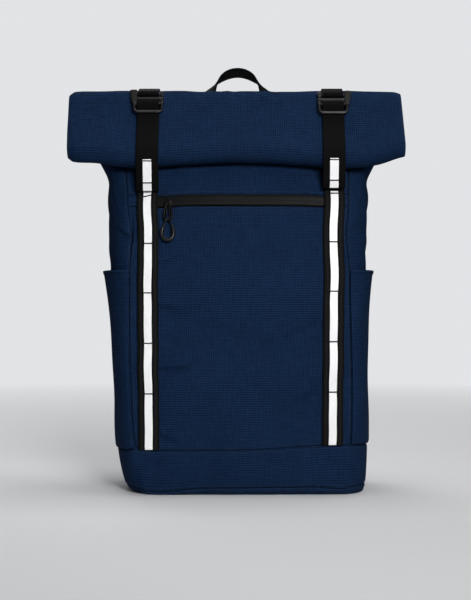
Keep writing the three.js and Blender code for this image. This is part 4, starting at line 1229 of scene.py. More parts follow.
@dataclass
class Shell:
    """The canvas walls of the bag, its side pockets and its base."""

    gap: float = 0.4
    fabric: float = 1.8
    pocket_hem: float = 255.0
    pocket_width: float = 150.0
    pocket_gape: float = 6.0
    pocket_flare: float = 4.0
    pocket_inset: float = 0.006
    hem_height: float = 3.4
    hem_lift: float = 0.8       # how far the turned-over hem stands out
    seam_depth: float = 4.6     # how deep the band's edges turn in at its seams
    band_lift: float = 0.25
    band_groove: float = 5.0    # the band's topstitching this far in from its edges
    girth_height: float = 30.0  # where the way round the band is measured
    floor_wall: float = 1.6
    floor_middle: tuple[float, float, float] = (6.0, -62.0, 0.0)
    steps_round: int = 360
    strips: tuple[tuple[float, float], ...] = ((0.012, 0.078), (0.934, 0.99))  # from strap to side seam
    strip_row: float = 2.4      # their rows of stitches this far from the zip

    def panels(self) -> list[Panel]:
        """Every flat-cut panel."""
        half = self.gap / 2
        low = BASE_SEAM + half
        left_end, right_end = zip_ends()
        zip_rise = (ZIP_LOW + half, ZIP_HIGH - half)
        all_but_high = (Edge.LOW, Edge.START, Edge.END)
        return [
            Panel("front_panel", FRONT_U, (low, ZIP_LOW - half), tuple(Edge)),
            Panel("front_yoke", FRONT_U, (ZIP_HIGH + half, NECK), all_but_high),
            Panel("side_panel_right", RIGHT_U, (low, NECK - 2), (Edge.START,)),
            Panel("side_panel_left", LEFT_U, (low, NECK - 2), (Edge.END,)),
            Panel("back_yoke", BACK_U, (BACK_PAD_TOP + half, NECK), all_but_high),
            Panel("zip_end_left", (FRONT_U[0], left_end - SEAM_U), zip_rise, step=2.0),
            Panel("zip_end_right", (right_end + SEAM_U, FRONT_U[1]), zip_rise, step=2.0),
        ]

    def pocket_out(self, t: Array, z: Array) -> Array:
        """Gape gape * rise^flare * sin(pi t), a hem turned over at the top, and slow upright folds."""
        arch = np.sin(math.pi * t)
        rise = np.clip((z - BASE_SEAM) / (self.pocket_hem - BASE_SEAM), 0.0, 1.0)
        hem = self.pocket_hem - self.hem_height
        folds = np.sin(t * 23.0 + 0.8 * np.sin(z / 40.0)) * bell(z - BASE_SEAM, 60.0) * arch
        edge = np.minimum.reduce([t * self.pocket_width, (1 - t) * self.pocket_width, z - BASE_SEAM])
        return (self.gap + self.fabric + self.pocket_gape * rise ** self.pocket_flare * arch
                + self.hem_lift * smoothstep(hem - 0.6, hem, z) + 0.55 * folds - bell(edge, 1.6))

    def build_pocket(self, room: Workroom, node: str, span: tuple[float, float]) -> list[Line]:
        """Makes a side pocket.

        Args:
            room: Where finished pieces go.
            node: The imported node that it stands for.
            span: Places of the side panel's two seams.

        Returns:
            Its lines of stitching.
        """
        u0, u1 = span[0] + self.pocket_inset, span[1] - self.pocket_inset
        t = fine_edges(self.pocket_width, 2.8) / self.pocket_width
        z = np.concatenate([
            np.linspace(BASE_SEAM + 0.8, self.pocket_hem - 6, 78),
            self.pocket_hem - np.array([4.6, 4.0, 3.7, 3.4, 2.6, 1.6, 0.8, 0.3, 0.0]),
        ])
        tt, zz = np.meshgrid(t, z)
        points = BODY.cloth(u0 + (u1 - u0) * tt, zz, self.pocket_out(tt, zz))
        wear = bell(zz - self.pocket_hem, 2.0) * 0.9
        room.canvas(Surface().add_grid(points, t * self.pocket_width, z, wear=wear), node, Panel.wall)
        line_t = np.linspace(0.02, 0.98, 160)
        line_z = np.full(160, self.pocket_hem - self.hem_height - 0.9)
        return [BODY.thread_line(u0 + (u1 - u0) * line_t, line_z, self.pocket_out(line_t, line_z))]

    def round_base(self) -> tuple[Array, Array]:
        """Places round the body, and how far along the band each of them lies."""
        u = np.linspace(0.0, 4.0, self.steps_round + 1)
        return u, lengths_along(BODY.outline(u, np.full(u.shape, self.girth_height)))

    def build_band(self, room: Workroom) -> list[Line]:
        """Makes the base band, whose edges turn in at both seams, and gives its lines of stitching."""
        u, around = self.round_base()
        low, high = FLOOR_SEAM + self.gap / 2, BASE_SEAM - self.gap / 2

        def out(zz: Array) -> Array:
            """Lift of the band less the turn at its edges and the furrow under its stitches."""
            gap = np.minimum(zz - low, high - zz)
            pulled = Panel.furrow * bell(gap - self.band_groove, FURROW_HALF)
            return self.band_lift - Panel.tuck * bell(gap, Panel.seam) - pulled

        z = doubled(low + fine_edges(high - low, Panel.step))
        uu, zz = np.meshgrid(u[:-1], z)
        wear = bell(zz - low - 1.5, 2.0) + 0.5 * bell(high - zz - 1.5, 1.5)
        depth = out(zz)
        depth[[0, -1]] = -self.seam_depth
        band = Surface().add_grid(BODY.cloth(uu, zz, depth), around, z, round_columns=True, wear=wear)
        room.canvas(band, "base_band", Panel.wall)
        rows = [np.full(u.shape, height) for height in (high - self.band_groove, low + self.band_groove)]
        return [BODY.thread_line(u, row, out(row)) for row in rows]

    def build_floor(self, room: Workroom) -> None:
        """Makes the bottom panel: rings down from the low seam to the ground, then in to the middle."""
        u, around = self.round_base()
        rim = FLOOR_SEAM - self.gap / 2
        heights = np.array([rim, rim - 0.5, rim - 1.4, rim * 0.62, rim * 0.42, rim * 0.24, rim * 0.1, 0.0])
        uu, hh = np.meshgrid(u[:-1], heights)
        wall = BODY.cloth(uu, hh, 0.1 - Panel.tuck * bell(rim - hh, 1.3))
        wall[-1, :, 2] = 0.0
        middle = np.array(self.floor_middle)
        shares = np.array([0.985, 0.94, 0.86, 0.7, 0.45, 0.15])[:, None, None]
        rings = np.concatenate([wall, middle + (wall[-1] - middle) * shares])
        rings[..., 2] = np.maximum(rings[..., 2], 0.0)
        down = lengths_along(rings[:, self.steps_round // 4])[::-1]
        wear = np.repeat(bell(down - 6.0, 5.0)[:, None], self.steps_round, axis=1)
        floor = Surface().add_grid(rings[::-1], around, down, round_columns=True, wear=wear)
        floor.add_caps(self.steps_round, len(rings))
        floor.fans = floor.fans[:1]     # the middle is closed and the rim stays open
        room.canvas(floor, "base_floor", self.floor_wall)

    def strip_rows(self) -> list[Line]:
        """Two rows of stitches across each strip between a strap and the side seam, beside the zip."""
        lines = []
        for u0, u1 in self.strips:
            for height in (ZIP_HIGH + self.strip_row, ZIP_LOW - self.strip_row):
                lines.append(BODY.thread_line(np.linspace(u0, u1, 30), np.full(30, height), 0.0))
        return lines

    def build(self, room: Workroom) -> None:
        """Makes the walls, pockets and base, and sews them."""
        lines: list[Line] = []
        for panel in self.panels():
            lines += panel.build(room)
        lines += self.build_pocket(room, "side_pocket_right", RIGHT_U)
        lines += self.build_pocket(room, "side_pocket_left", LEFT_U)
        lines += self.build_band(room)
        self.build_floor(room)
        lines += self.strip_rows()
        room.take(TOPSTITCH.sew("shell_stitching", lines), room.finishes.navy_thread, Slot.CANVAS)


# The rolled top


@dataclass
class RollFrame:
    """The leaning frame of the roll: x along it, ``up`` it and ``out`` of its front."""

    tilt: float = math.radians(24.0)
    centre: tuple[float, float, float] = (0.0, -93.0, 420.5)

    @property
    def up(self) -> Array:
        """Direction up the roll."""
        return np.array([0.0, math.sin(self.tilt), math.cos(self.tilt)])

    @property
    def out(self) -> Array:
        """Direction out of its front."""
        return np.array([0.0, -math.cos(self.tilt), math.sin(self.tilt)])

    def at(self, x: Array, up: Array, out: Array) -> Array:
        """Points given by their places along, up and out of the roll."""
        x, up, out = np.broadcast_arrays(*(np.asarray(v, float) for v in (x, up, out)))
        along = np.stack([x, 0 * x, 0 * x], axis=-1)
        return np.array(self.centre) + along + up[..., None] * self.up + out[..., None] * self.out


ROLL = RollFrame()
ROLL_TOP_H, ROLL_LOW_H, ROLL_WALL, ROLL_ENTRY = 29.5, 34.5, 3.0, 0.66
ROLL_LAYERS = np.array([-16.0, 16.0, -11.0, 11.0, -6.0, 6.0])
STATIONS = np.array([       # x, slant, lift of the lower edge, drop of the upper edge, thickness
    (ROLL_LEFT_END, 0.0, 6.0, 3.2, 0.8),
    (-192.0, 0.0, 3.4, 0.6, 0.93),
    (-165.0, 0.0, 2.4, 0.0, 0.98),
    (-118.0, 0.0, -3.9, 0.0, 1.0),
    (-60.0, 0.0, 0.5, 0.5, 1.0),
    (0.0, 0.0, 3.0, 0.8, 1.0),
    (60.0, 0.0, 0.5, 0.4, 1.0),
    (115.0, 0.0, -4.4, 0.0, 1.0),
    (155.0, -0.01, -0.3, 0.0, 0.98),
    (180.0, -0.03, 8.0, 0.3, 0.92),
    (ROLL_RIGHT_END, -0.036, 9.0, 1.4, 0.84),
])
ROLL_DENTS = np.array([     # x, up, half length, half height, depth, on the roll's front and top
    (-33.0, 33.0, 8.0, 9.0, 1.6),
    (48.0, 25.0, 7.0, 8.0, 1.8),
    (-15.0, 32.0, 5.0, 8.0, 2.6),
    (-7.0, 34.0, 5.0, 8.0, -1.6),
    (30.0, 32.0, 5.5, 9.0, 2.8),
    (40.0, 33.0, 6.0, 8.0, -1.7),
    (58.0, 27.0, 6.0, 9.0, -1.8),
    (-66.0, 40.0, 14.0, 6.0, 1.4),
    (-70.0, 6.0, 26.0, 16.0, 0.9),
    (20.0, -6.0, 34.0, 14.0, 0.8),
    (150.0, 22.0, 18.0, 12.0, 1.2),
    (-160.0, -14.0, 20.0, 12.0, 1.2),
    (168.0, -22.0, 14.0, 10.0, 1.3),
    (-140.0, 26.0, 10.0, 16.0, 0.8),
])


@dataclass
class RollTop:
    """The mouth of the bag, flattened and rolled towards the front: two layers of canvas."""

    sheet: float = 1.15
    part: float = 0.72          # each layer's middle from the middle of the two
    last_share: float = 0.6
    start_rise: float = 1.1
    end_steps: tuple[float, ...] = (0.0, 0.8, 2.0, 3.8)  # distances of the columns close to an end
    columns: int = 104          # evenly spaced between those

    def line(self, x: Array) -> tuple[Array, Array, Array]:
        """Middle of the two layers at each place along the roll.

        Straight up from the back yoke, then half turns about the top and the bottom fold in turn, each
        between one layer's offset and the next.

        Args:
            x: (n,) places along the roll.

        Returns:
            (n, m, 3) points, and the (n, m) up and out of each in the roll's frame.
        """
        slant, lift, drop, thick = (
            smooth_between(STATIONS[:, 0], column, x)[:, None] for column in STATIONS[:, 1:].T
        )
        top = ROLL_TOP_H - drop
        low = -ROLL_LOW_H + lift
        ups, outs = [], []
        for i in range(len(ROLL_LAYERS) - 1):
            a, b = ROLL_LAYERS[i] * thick, ROLL_LAYERS[i + 1] * thick
            turn = np.linspace(ROLL_ENTRY if i == 0 else 0.0, math.pi, 22 if i < 2 else 12)[None, :]
            radius, middle, way = np.abs(b - a) / 2, (a + b) / 2, np.sign(b - a)
            end, goal, sign = (top, low, 1.0) if i % 2 == 0 else (low, top, -1.0)
            ups.append(end + sign * radius * np.sin(turn))
            outs.append(middle - way * radius * np.cos(turn))
            reach = 1.0 if i < len(ROLL_LAYERS) - 2 else self.last_share
            share = np.linspace(0.0, reach, 15 if i < 2 else 8)[None, 1:-1 if reach == 1.0 else None]
            ups.append(end + (goal - end) * share)
            outs.append(np.broadcast_to(b, ups[-1].shape))
        up, out = np.concatenate(ups, axis=1), np.concatenate(outs, axis=1)
        tip = smoothstep(8.0, 44.0, -up) * (0.8 * smoothstep(184.0, 198.0, -x))[:, None]
        rolled = ROLL.at(x[:, None] + slant * up + tip, up, out)
        start = np.stack([x, np.full(x.shape, float(BODY.column("back", np.array(NECK))) - ROLL_WALL / 2),
                          np.full(x.shape, NECK + self.start_rise)], axis=-1)[:, None, :]
        share = np.linspace(0.0, 1.0, 14)[None, :-1, None]
        wall = start + (rolled[:, :1] - start) * share
        lead = np.full((len(x), wall.shape[1]), np.nan)
        return (np.concatenate([wall, rolled], axis=1), np.concatenate([lead, up], axis=1),
                np.concatenate([lead, out], axis=1))

    def softness(self, x: Array, up: Array, out: Array) -> Array:
        """How far the outer wrap gives: dents, a fuller face between the straps and a slow waver."""
        outer = np.nan_to_num((out > 12.0) | (up > ROLL_TOP_H + 2.0)).astype(float)
        up = np.nan_to_num(up)
        give = np.zeros(np.broadcast(x, up).shape)
        for dx, dup, half_x, half_up, depth in ROLL_DENTS:
            give -= depth * bell(x - dx, half_x) * bell(up - dup, half_up)
        clear = smoothstep(18.0, 40.0, np.minimum(np.abs(x - STRAP_TOP_X), np.abs(x + STRAP_TOP_X)))
        ends = smoothstep(0.0, 24.0, np.minimum(x - ROLL_LEFT_END, ROLL_RIGHT_END - x))
        fuller = 1.3 * clear * ends * bell(up, 34.0)
        waver = 0.35 * (np.sin(x / 17.0 + up / 9.0) + np.sin(x / 29.0 - up / 14.0 + 1.0)) * clear
        return outer * (give + fuller + waver)

    def build(self, room: Workroom) -> None:
        """Makes the roll as two sheets that lie close together."""
        steps = np.array(self.end_steps)
        x = np.concatenate([ROLL_LEFT_END + steps, np.linspace(-192.0, 180.0, self.columns),
                            ROLL_RIGHT_END - steps[::-1]])
        points, up, out = self.line(x)
        face = unit(np.cross(X_AXIS, unit(np.gradient(points, axis=1))))
        points = points + face * self.softness(x[:, None], up, out)[..., None]
        far = lengths_along(points[len(x) // 2])
        wear = np.tile(bell(np.minimum(x - ROLL_LEFT_END, ROLL_RIGHT_END - x), 3.0), (points.shape[1], 1))
        roll = Surface()
        for side in (1.0, -1.0):
            sheet = points + face * side * self.part
            roll.add_grid(np.swapaxes(sheet, 0, 1), x, far, wear=wear)
        room.canvas(roll, "roll_top", self.sheet, 0.0)


# Webbing


def strap_middle(side: Side) -> float:
    """x of a closure strap's middle."""
    return STRAP_ASIDE + side.value * STRAP_TOP_X


def hook_height(side: Side) -> float:
    """Height of a hook up the roll; the right one hangs lower."""
    return HOOK_H - side.pick((0.0, RIGHT_HOOK_DROP))


def strap_profile(width: float, thickness: float, ridge: float = 0.0) -> Profile:
    """A flat strap with round edges, and two ridges of the given height along its face.

    The half width is |cos|^0.25, and the ridges are bells 3.9 mm in from the edges.
    """
    base = block_profile(width, thickness, 0.25)

    def profile(turn: Array) -> tuple[Array, Array]:
        """Points of the strap's section."""
        a, b = base(turn)
        ribs = ridge * bell(np.abs(a) - (width / 2 - 3.9), 2.3)
        return a, b + np.where(b > 0, ribs, 0.0)
    return profile


def level_strap(line: Array, profile: Profile, count: int, scale: Optional[Array] = None) -> Surface:
    """A strap along a line, with its width level along x."""
    across = np.tile(X_AXIS, (len(line), 1))
    return sweep(line, across, np.cross(across, tangents(line)), profile, count, scale)


@dataclass
class FrontStraps:
    """Daisy-chain webbing with reflective tape, closure straps with folded tails, and the hooks' loops."""

    webbing: float = 1.5
    tape: float = 0.5
    width: float = 25.0
    daisy_width: float = 23.6
    daisy_ridge: float = 0.75
    loop_width: float = 24.0
    tape_width: float = 8.8
    patch_width: float = 9.8
    gap: float = 0.4
    foot_x: float = 103.0
    daisy_top: float = 351.0
    tail_start: float = 386.0
    tail_end: float = 345.0
    tail_depths: tuple[float, float] = (-128.8, -119.6)  # y of the hanging tail's start and end
    right_short: float = 3.4
    tape_top: tuple[float, float] = (345.5, 345.0)
    end_tack: tuple[float, float] = (340.1, 342.5)
    patch_top: float = 380.0
    tack_heights: tuple[float, ...] = (284.6, 228.8, 172.2, 115.5)
    right_tacks_up: float = 1.9
    tack_length: float = 14.6
    patch_row_length: float = 12.0
    slack_height: float = 1.3
    slot_turn: float = 3.2      # radius of the strap's turn round the hook's slot bar
    open_turn: float = 2.8      # and of the loop's turn round its open bar

    def strap_x(self, side: Side, z: Array) -> Array:
        """The strap's middle at a height."""
        share = (z - BASE_SEAM) / (self.daisy_top - BASE_SEAM)
        return STRAP_ASIDE + side.value * (self.foot_x + (STRAP_TOP_X - self.foot_x) * share)

    def tail_stop(self, side: Side) -> float:
        """Height where the tail ends; the right one is shorter."""
        return self.tail_end + side.pick((0.0, self.right_short))

    def slack(self, z: Array) -> Array:
        """How far the webbing arches off the cloth between its bar tacks, as sin^0.8 of the place."""
        knots = np.array([BASE_SEAM - 6.0, *self.tack_heights[::-1], self.daisy_top + 4.0])
        i = np.clip(np.searchsorted(knots, z, side="right") - 1, 0, len(knots) - 2)
        t = (z - knots[i]) / (knots[i + 1] - knots[i])
        return self.slack_height * np.sin(math.pi * np.clip(t, 0.0, 1.0)) ** 0.8

    def lying(self, side: Side, z: Array, lift: float) -> Tack:
        """Path of a strap that lies on the front.

        Args:
            side: Left or right.
            z: Heights of its steps.
            lift: Its middle above the cloth at a bar tack.

        Returns:
            Centres, directions across and directions out.
        """
        sway = 0.35 * np.sin(z / 9.5 + side.value) * np.sin(z / 31.0)
        u = BODY.front_u(self.strap_x(side, z) + sway, z)
        out = BODY.outward(u, z)
        points = BODY.outline(u, z) + BODY.settled(u, z) + out * (lift + self.slack(z))[:, None]
        return points, BODY.around(u, z), out

    def hanging(self, side: Side, z: Array) -> Array:
        """Points down the middle of the hanging tail, which bows forward under the roll."""
        share = (self.tail_start - z) / (self.tail_start - self.tail_end)
        start, end = self.tail_depths
        y = start + (end - start) * share * share
        return np.stack([np.full(len(z), strap_middle(side)), y, z], axis=-1)

    def build_daisy(self, room: Workroom, side: Side) -> list[Tack]:
        """Makes the daisy webbing and its tape.

        Args:
            room: Where finished pieces go.
            side: Left or right.

        Returns:
            Place, direction across and normal of each bar tack.
        """
        z = np.linspace(BASE_SEAM + self.gap, self.daisy_top, 190)
        path = self.lying(side, z, self.gap + self.webbing / 2)
        strap = sweep(*path, strap_profile(self.daisy_width, self.webbing, self.daisy_ridge), 40)
        room.webbing(strap, side.node("daisy_webbing"), ridged=True)
        z = np.linspace(BASE_SEAM + self.gap * 2, side.pick(self.tape_top), 190)
        path = self.lying(side, z, self.gap + self.webbing + 0.35)
        pinch = np.min(np.abs(z[:, None] - np.array(self.tack_heights)[None, :]), axis=1)
        scale = np.stack([1 - 0.03 * bell(pinch, 6.0), np.ones(len(z))], axis=-1)
        tape = sweep(*path, strap_profile(self.tape_width, self.tape), 24, scale)
        room.tape(tape, side.node("reflective_tape"))
        heights = np.array([*self.tack_heights, 0.0]) + side.pick((0.0, self.right_tacks_up))
        heights[-1] = side.pick(self.end_tack)
        places, across, out = self.lying(side, heights, self.gap + self.webbing + 0.72)
        if side is Side.LEFT:   # its last tack is sewn on a slant
            across[-1] = unit(across[-1] + 0.24 * np.cross(out[-1], across[-1]))
        return list(zip(places, across, out))

    def strap_line(self, side: Side) -> Array:
        """Line of the closure strap: up under the roll, up its front, round the hook's bar and down again.

        Returns:
            (n, 3) points.
        """
        x = strap_middle(side)
        load = ROLL_LAYERS[1] + ROLL_WALL / 2 + self.gap + self.webbing / 2
        tail = load + self.webbing + self.gap
        low_up = -ROLL_LOW_H - 5.0
        top = np.array(self.daisy_top)
        u = BODY.front_u(self.strap_x(side, top), top)
        anchor = BODY.outline(u, top + self.gap * 2) + BODY.outward(u, top) * (self.gap + self.webbing / 2)
        anchor[0] = x
        middle = (ROLL_LAYERS[1] + ROLL_LAYERS[2]) / 2
        radius = load - middle
        turn = np.radians(np.linspace(35.0, 0.0, 4))
        under = ROLL.at(x, low_up - radius * np.sin(turn), middle + radius * np.cos(turn))
        hook = hook_height(side)
        loaded = ROLL.at(x, hook - np.array([20.0, 9.0]), np.array([load, load]))
        turn = np.linspace(math.pi, 0.0, 9)
        bar = ROLL.at(x, hook + SLOT_BAR + self.slot_turn * np.sin(turn),
                      HOOK_LIFT + self.slot_turn * np.cos(turn))
        behind = HOOK_LIFT + BAIL_LIFT - 1.3 - self.gap * 1.5 - self.webbing / 2
        down = hook - np.array([6.5, 11.0, 16.5, 24.0])
        tailing = ROLL.at(x, down, np.array([HOOK_LIFT + 1.9, behind, behind - 0.2, tail]))
        last = ROLL.at(x, np.array([low_up + 2.0]), np.array([tail]))
        hanging = self.hanging(side, np.linspace(self.tail_start, self.tail_stop(side), 6))
        return np.concatenate([anchor[None, :], under, loaded, bar, tailing, last, hanging])

    def build_closure(self, room: Workroom, side: Side) -> list[Tack]:
        """Makes the closure strap, its folded end and its patch.

        Args:
            room: Where finished pieces go.
            side: Left or right.

        Returns:
            Place, direction across and normal of each row of stitches on the patch.
        """
        line = even_line(self.strap_line(side), 1.4)
        far = lengths_along(line)
        folded = 1 - smoothstep(10.5, 13.5, far[-1] - far)
        scale = np.stack([1 + 0.012 * folded, 1 + folded], axis=-1)
        strap = level_strap(line, strap_profile(self.width, self.webbing), 34, scale)
        room.webbing(strap, side.node("closure_strap"))
        end = self.tail_stop(side)
        z = np.linspace(self.patch_top + (end - self.tail_end) * 0.4, end + 0.6, 40)
        patch = self.hanging(side, z)
        across = np.tile(X_AXIS, (len(z), 1))
        out = np.cross(tangents(patch), across)
        over = 1 - smoothstep(end + 10.0, end + 13.5, z)
        patch = patch + out * (self.webbing / 2 + 0.4 + 0.75 * over)[:, None]
        tape = sweep(patch, across, out, strap_profile(self.patch_width, self.tape), 24)
        room.tape(tape, side.node("closure_patch"))
        rows = [int(np.argmin(np.abs(z - height))) for height in (z[0] - 1.7, end + 9.2)]
        return [(patch[k] + out[k] * 0.32, X_AXIS, out[k]) for k in rows]

    def build_loop(self, room: Workroom, side: Side) -> None:
        """Makes the webbing that comes up the back, over the roll and round the hook's open bar."""
        x = strap_middle(side)
        z = np.linspace(BACK_PAD_TOP + 6.0, NECK - 2.0, 9)
        back = BODY.laid(BODY.back_u(np.full(z.shape, x), z), z, self.gap * 2 + self.webbing / 2)
        back[:, 0] = x
        load = ROLL_LAYERS[1] + ROLL_WALL / 2 + self.gap * 2 + self.webbing / 2
        neck_y = float(BODY.column("back", np.array(NECK)))
        start = np.array([x, neck_y - ROLL_WALL / 2, NECK + RollTop.start_rise])
        entry_up = ROLL_TOP_H + ROLL_LAYERS[1] * math.sin(ROLL_ENTRY)
        top = ROLL.at(x, entry_up, ROLL_LAYERS[0] * math.cos(ROLL_ENTRY))
        away = np.cross(unit(top - start), X_AXIS)
        wall = start + (top - start) * np.array([0.1, 0.45, 0.8])[:, None] + away * (load + ROLL_LAYERS[0])
        turn = np.linspace(math.pi - ROLL_ENTRY, math.radians(40.0), 7)
        over = ROLL.at(x, ROLL_TOP_H + load * np.sin(turn), load * np.cos(turn))
        turn = np.linspace(0.6, -math.pi, 9)
        bar_up = hook_height(side) + OPEN_BAR
        bar = ROLL.at(x, bar_up + self.open_turn * np.sin(turn), HOOK_LIFT + self.open_turn * np.cos(turn))
        end = ROLL.at(x, np.array([bar_up + 1.6]), np.array([HOOK_LIFT - 3.1]))
        line = even_line(np.concatenate([back, wall, over, bar, end]), 1.6)
        strap = level_strap(line, strap_profile(self.loop_width, self.webbing), 30)
        room.webbing(strap, side.node("hook_loop"))

    def build(self, room: Workroom) -> None:
        """Makes the straps of both sides with their tacks."""
        tacks: list[Tack] = []
        rows: list[Tack] = []
        for side in Side:
            tacks += self.build_daisy(room, side)
            rows += self.build_closure(room, side)
            self.build_loop(room, side)
        kinds = zip(TACK.bars(tacks, self.tack_length), TACK.bars(rows, self.patch_row_length))
        sewn = [np.concatenate(pair) for pair in kinds]
        room.take(TACK.place("strap_bar_tacks", *sewn), room.finishes.black_thread, Slot.WEBBING)


# Hooks and zip


HOOK_BARS = (               # x, height and width at a bar's stops, and what it lacks of the plate
    (((-17.3, 15.4, 8.3), (-16.9, 6.0, 7.8), (-16.0, -1.0, 6.4), (-15.5, -5.6, 4.4)), 0.0),
    (((-14.5, OPEN_BAR, 3.0), (14.6, OPEN_BAR, 3.0)), 0.2),
    (((12.8, 9.9, 5.4), (15.6, 9.9, 6.6), (18.2, 9.8, 5.6)), 0.0),
    (((-14.5, 3.4, 3.3), (15.5, 3.4, 3.3)), 0.0),
    (((15.5, 5.3, 4.2), (15.6, 0.0, 4.2), (15.4, -4.8, 4.2)), 0.1),
    (((-14.5, SLOT_BAR, 3.2), (15.5, SLOT_BAR, 3.2)), 0.2),
)


@dataclass
class Hooks:
    """Gunmetal hooks: a plate with a lug, an open bar with a nose, a slot, and a lower loop of thick wire."""

    plate: float = 2.6
    end_round: float = 0.9
    bail_bend: float = 4.0
    bail_width: float = 3.1
    bail_wire: float = 2.8

    def bar(self, surface: Surface, side: Side, stops: Array, lift: float, thickness: float,
            power: float = 0.45) -> None:
        """Adds a rounded bar along stops of (x, h, width) in the hook's own plane.

        Args:
            surface: Surface to add to.
            side: Left or right; the lug points away from the bag's middle.
            stops: (n, 3) places and widths.
            lift: The bar's middle out of the plate's.
            thickness: The bar's thickness.
            power: Squareness of its section, 1 for round.
        """
        flat = stops * [1.0, 1.0, 0.0]
        if len(stops) > 2:
            line = even_line(flat, 0.7)
        else:
            line = flat[0] + (flat[1] - flat[0]) * np.linspace(0, 1, 24)[:, None]
        far = lengths_along(line)
        key = lengths_along(flat)
        width = np.interp(far / far[-1], key / key[-1], stops[:, 2])
        ends = np.minimum(far, far[-1] - far)
        soft = np.sqrt(1 - (1 - np.clip(ends / self.end_round, 0.0, 1.0)) ** 2 * 0.75)
        way = tangents(line)
        mirror = -side.value
        plane = np.stack([mirror * X_AXIS, ROLL.up])
        place = ROLL.at(strap_middle(side), hook_height(side), HOOK_LIFT + lift)
        across = np.stack([way[:, 1], -way[:, 0]], axis=-1) @ plane
        face = np.tile(ROLL.out, (len(line), 1)) * mirror
        scale = np.stack([width * soft, soft], axis=-1)
        section = block_profile(1.0, thickness, power)
        sweep(place + line[:, :2] @ plane, across, face, section, 20, scale, surface=surface)

    def bail(self) -> Array:
        """Stops of the lower wire loop: down one side, round two bends and up the other."""
        turn = np.radians(np.linspace(0.0, 90.0, 6))
        corner = self.bail_bend * np.stack([np.cos(turn), -np.sin(turn)], axis=-1)
        left = np.array([-11.8, -11.2]) + corner * [-1, 1]
        right = np.array([11.7, -11.2]) + corner[::-1]
        middle = [(-4.0, -15.2), (4.0, -15.2)]
        wire = np.concatenate([[(-16.0, -2.6)], left, middle, right, [(15.8, -2.6)]])
        return np.concatenate([wire, np.full((len(wire), 1), self.bail_width)], axis=1)

    def build(self, room: Workroom) -> None:
        """Makes both hooks."""
        for side in Side:
            metal = Surface()
            for stops, thinner in HOOK_BARS:
                self.bar(metal, side, np.array(stops), 0.0, self.plate - thinner)
            self.bar(metal, side, self.bail(), BAIL_LIFT, self.bail_wire, 0.75)
            node = side.node("g_hook")
            room.take(metal.make(f"{node}_metal"), room.finishes.gunmetal, Slot.METAL, node)


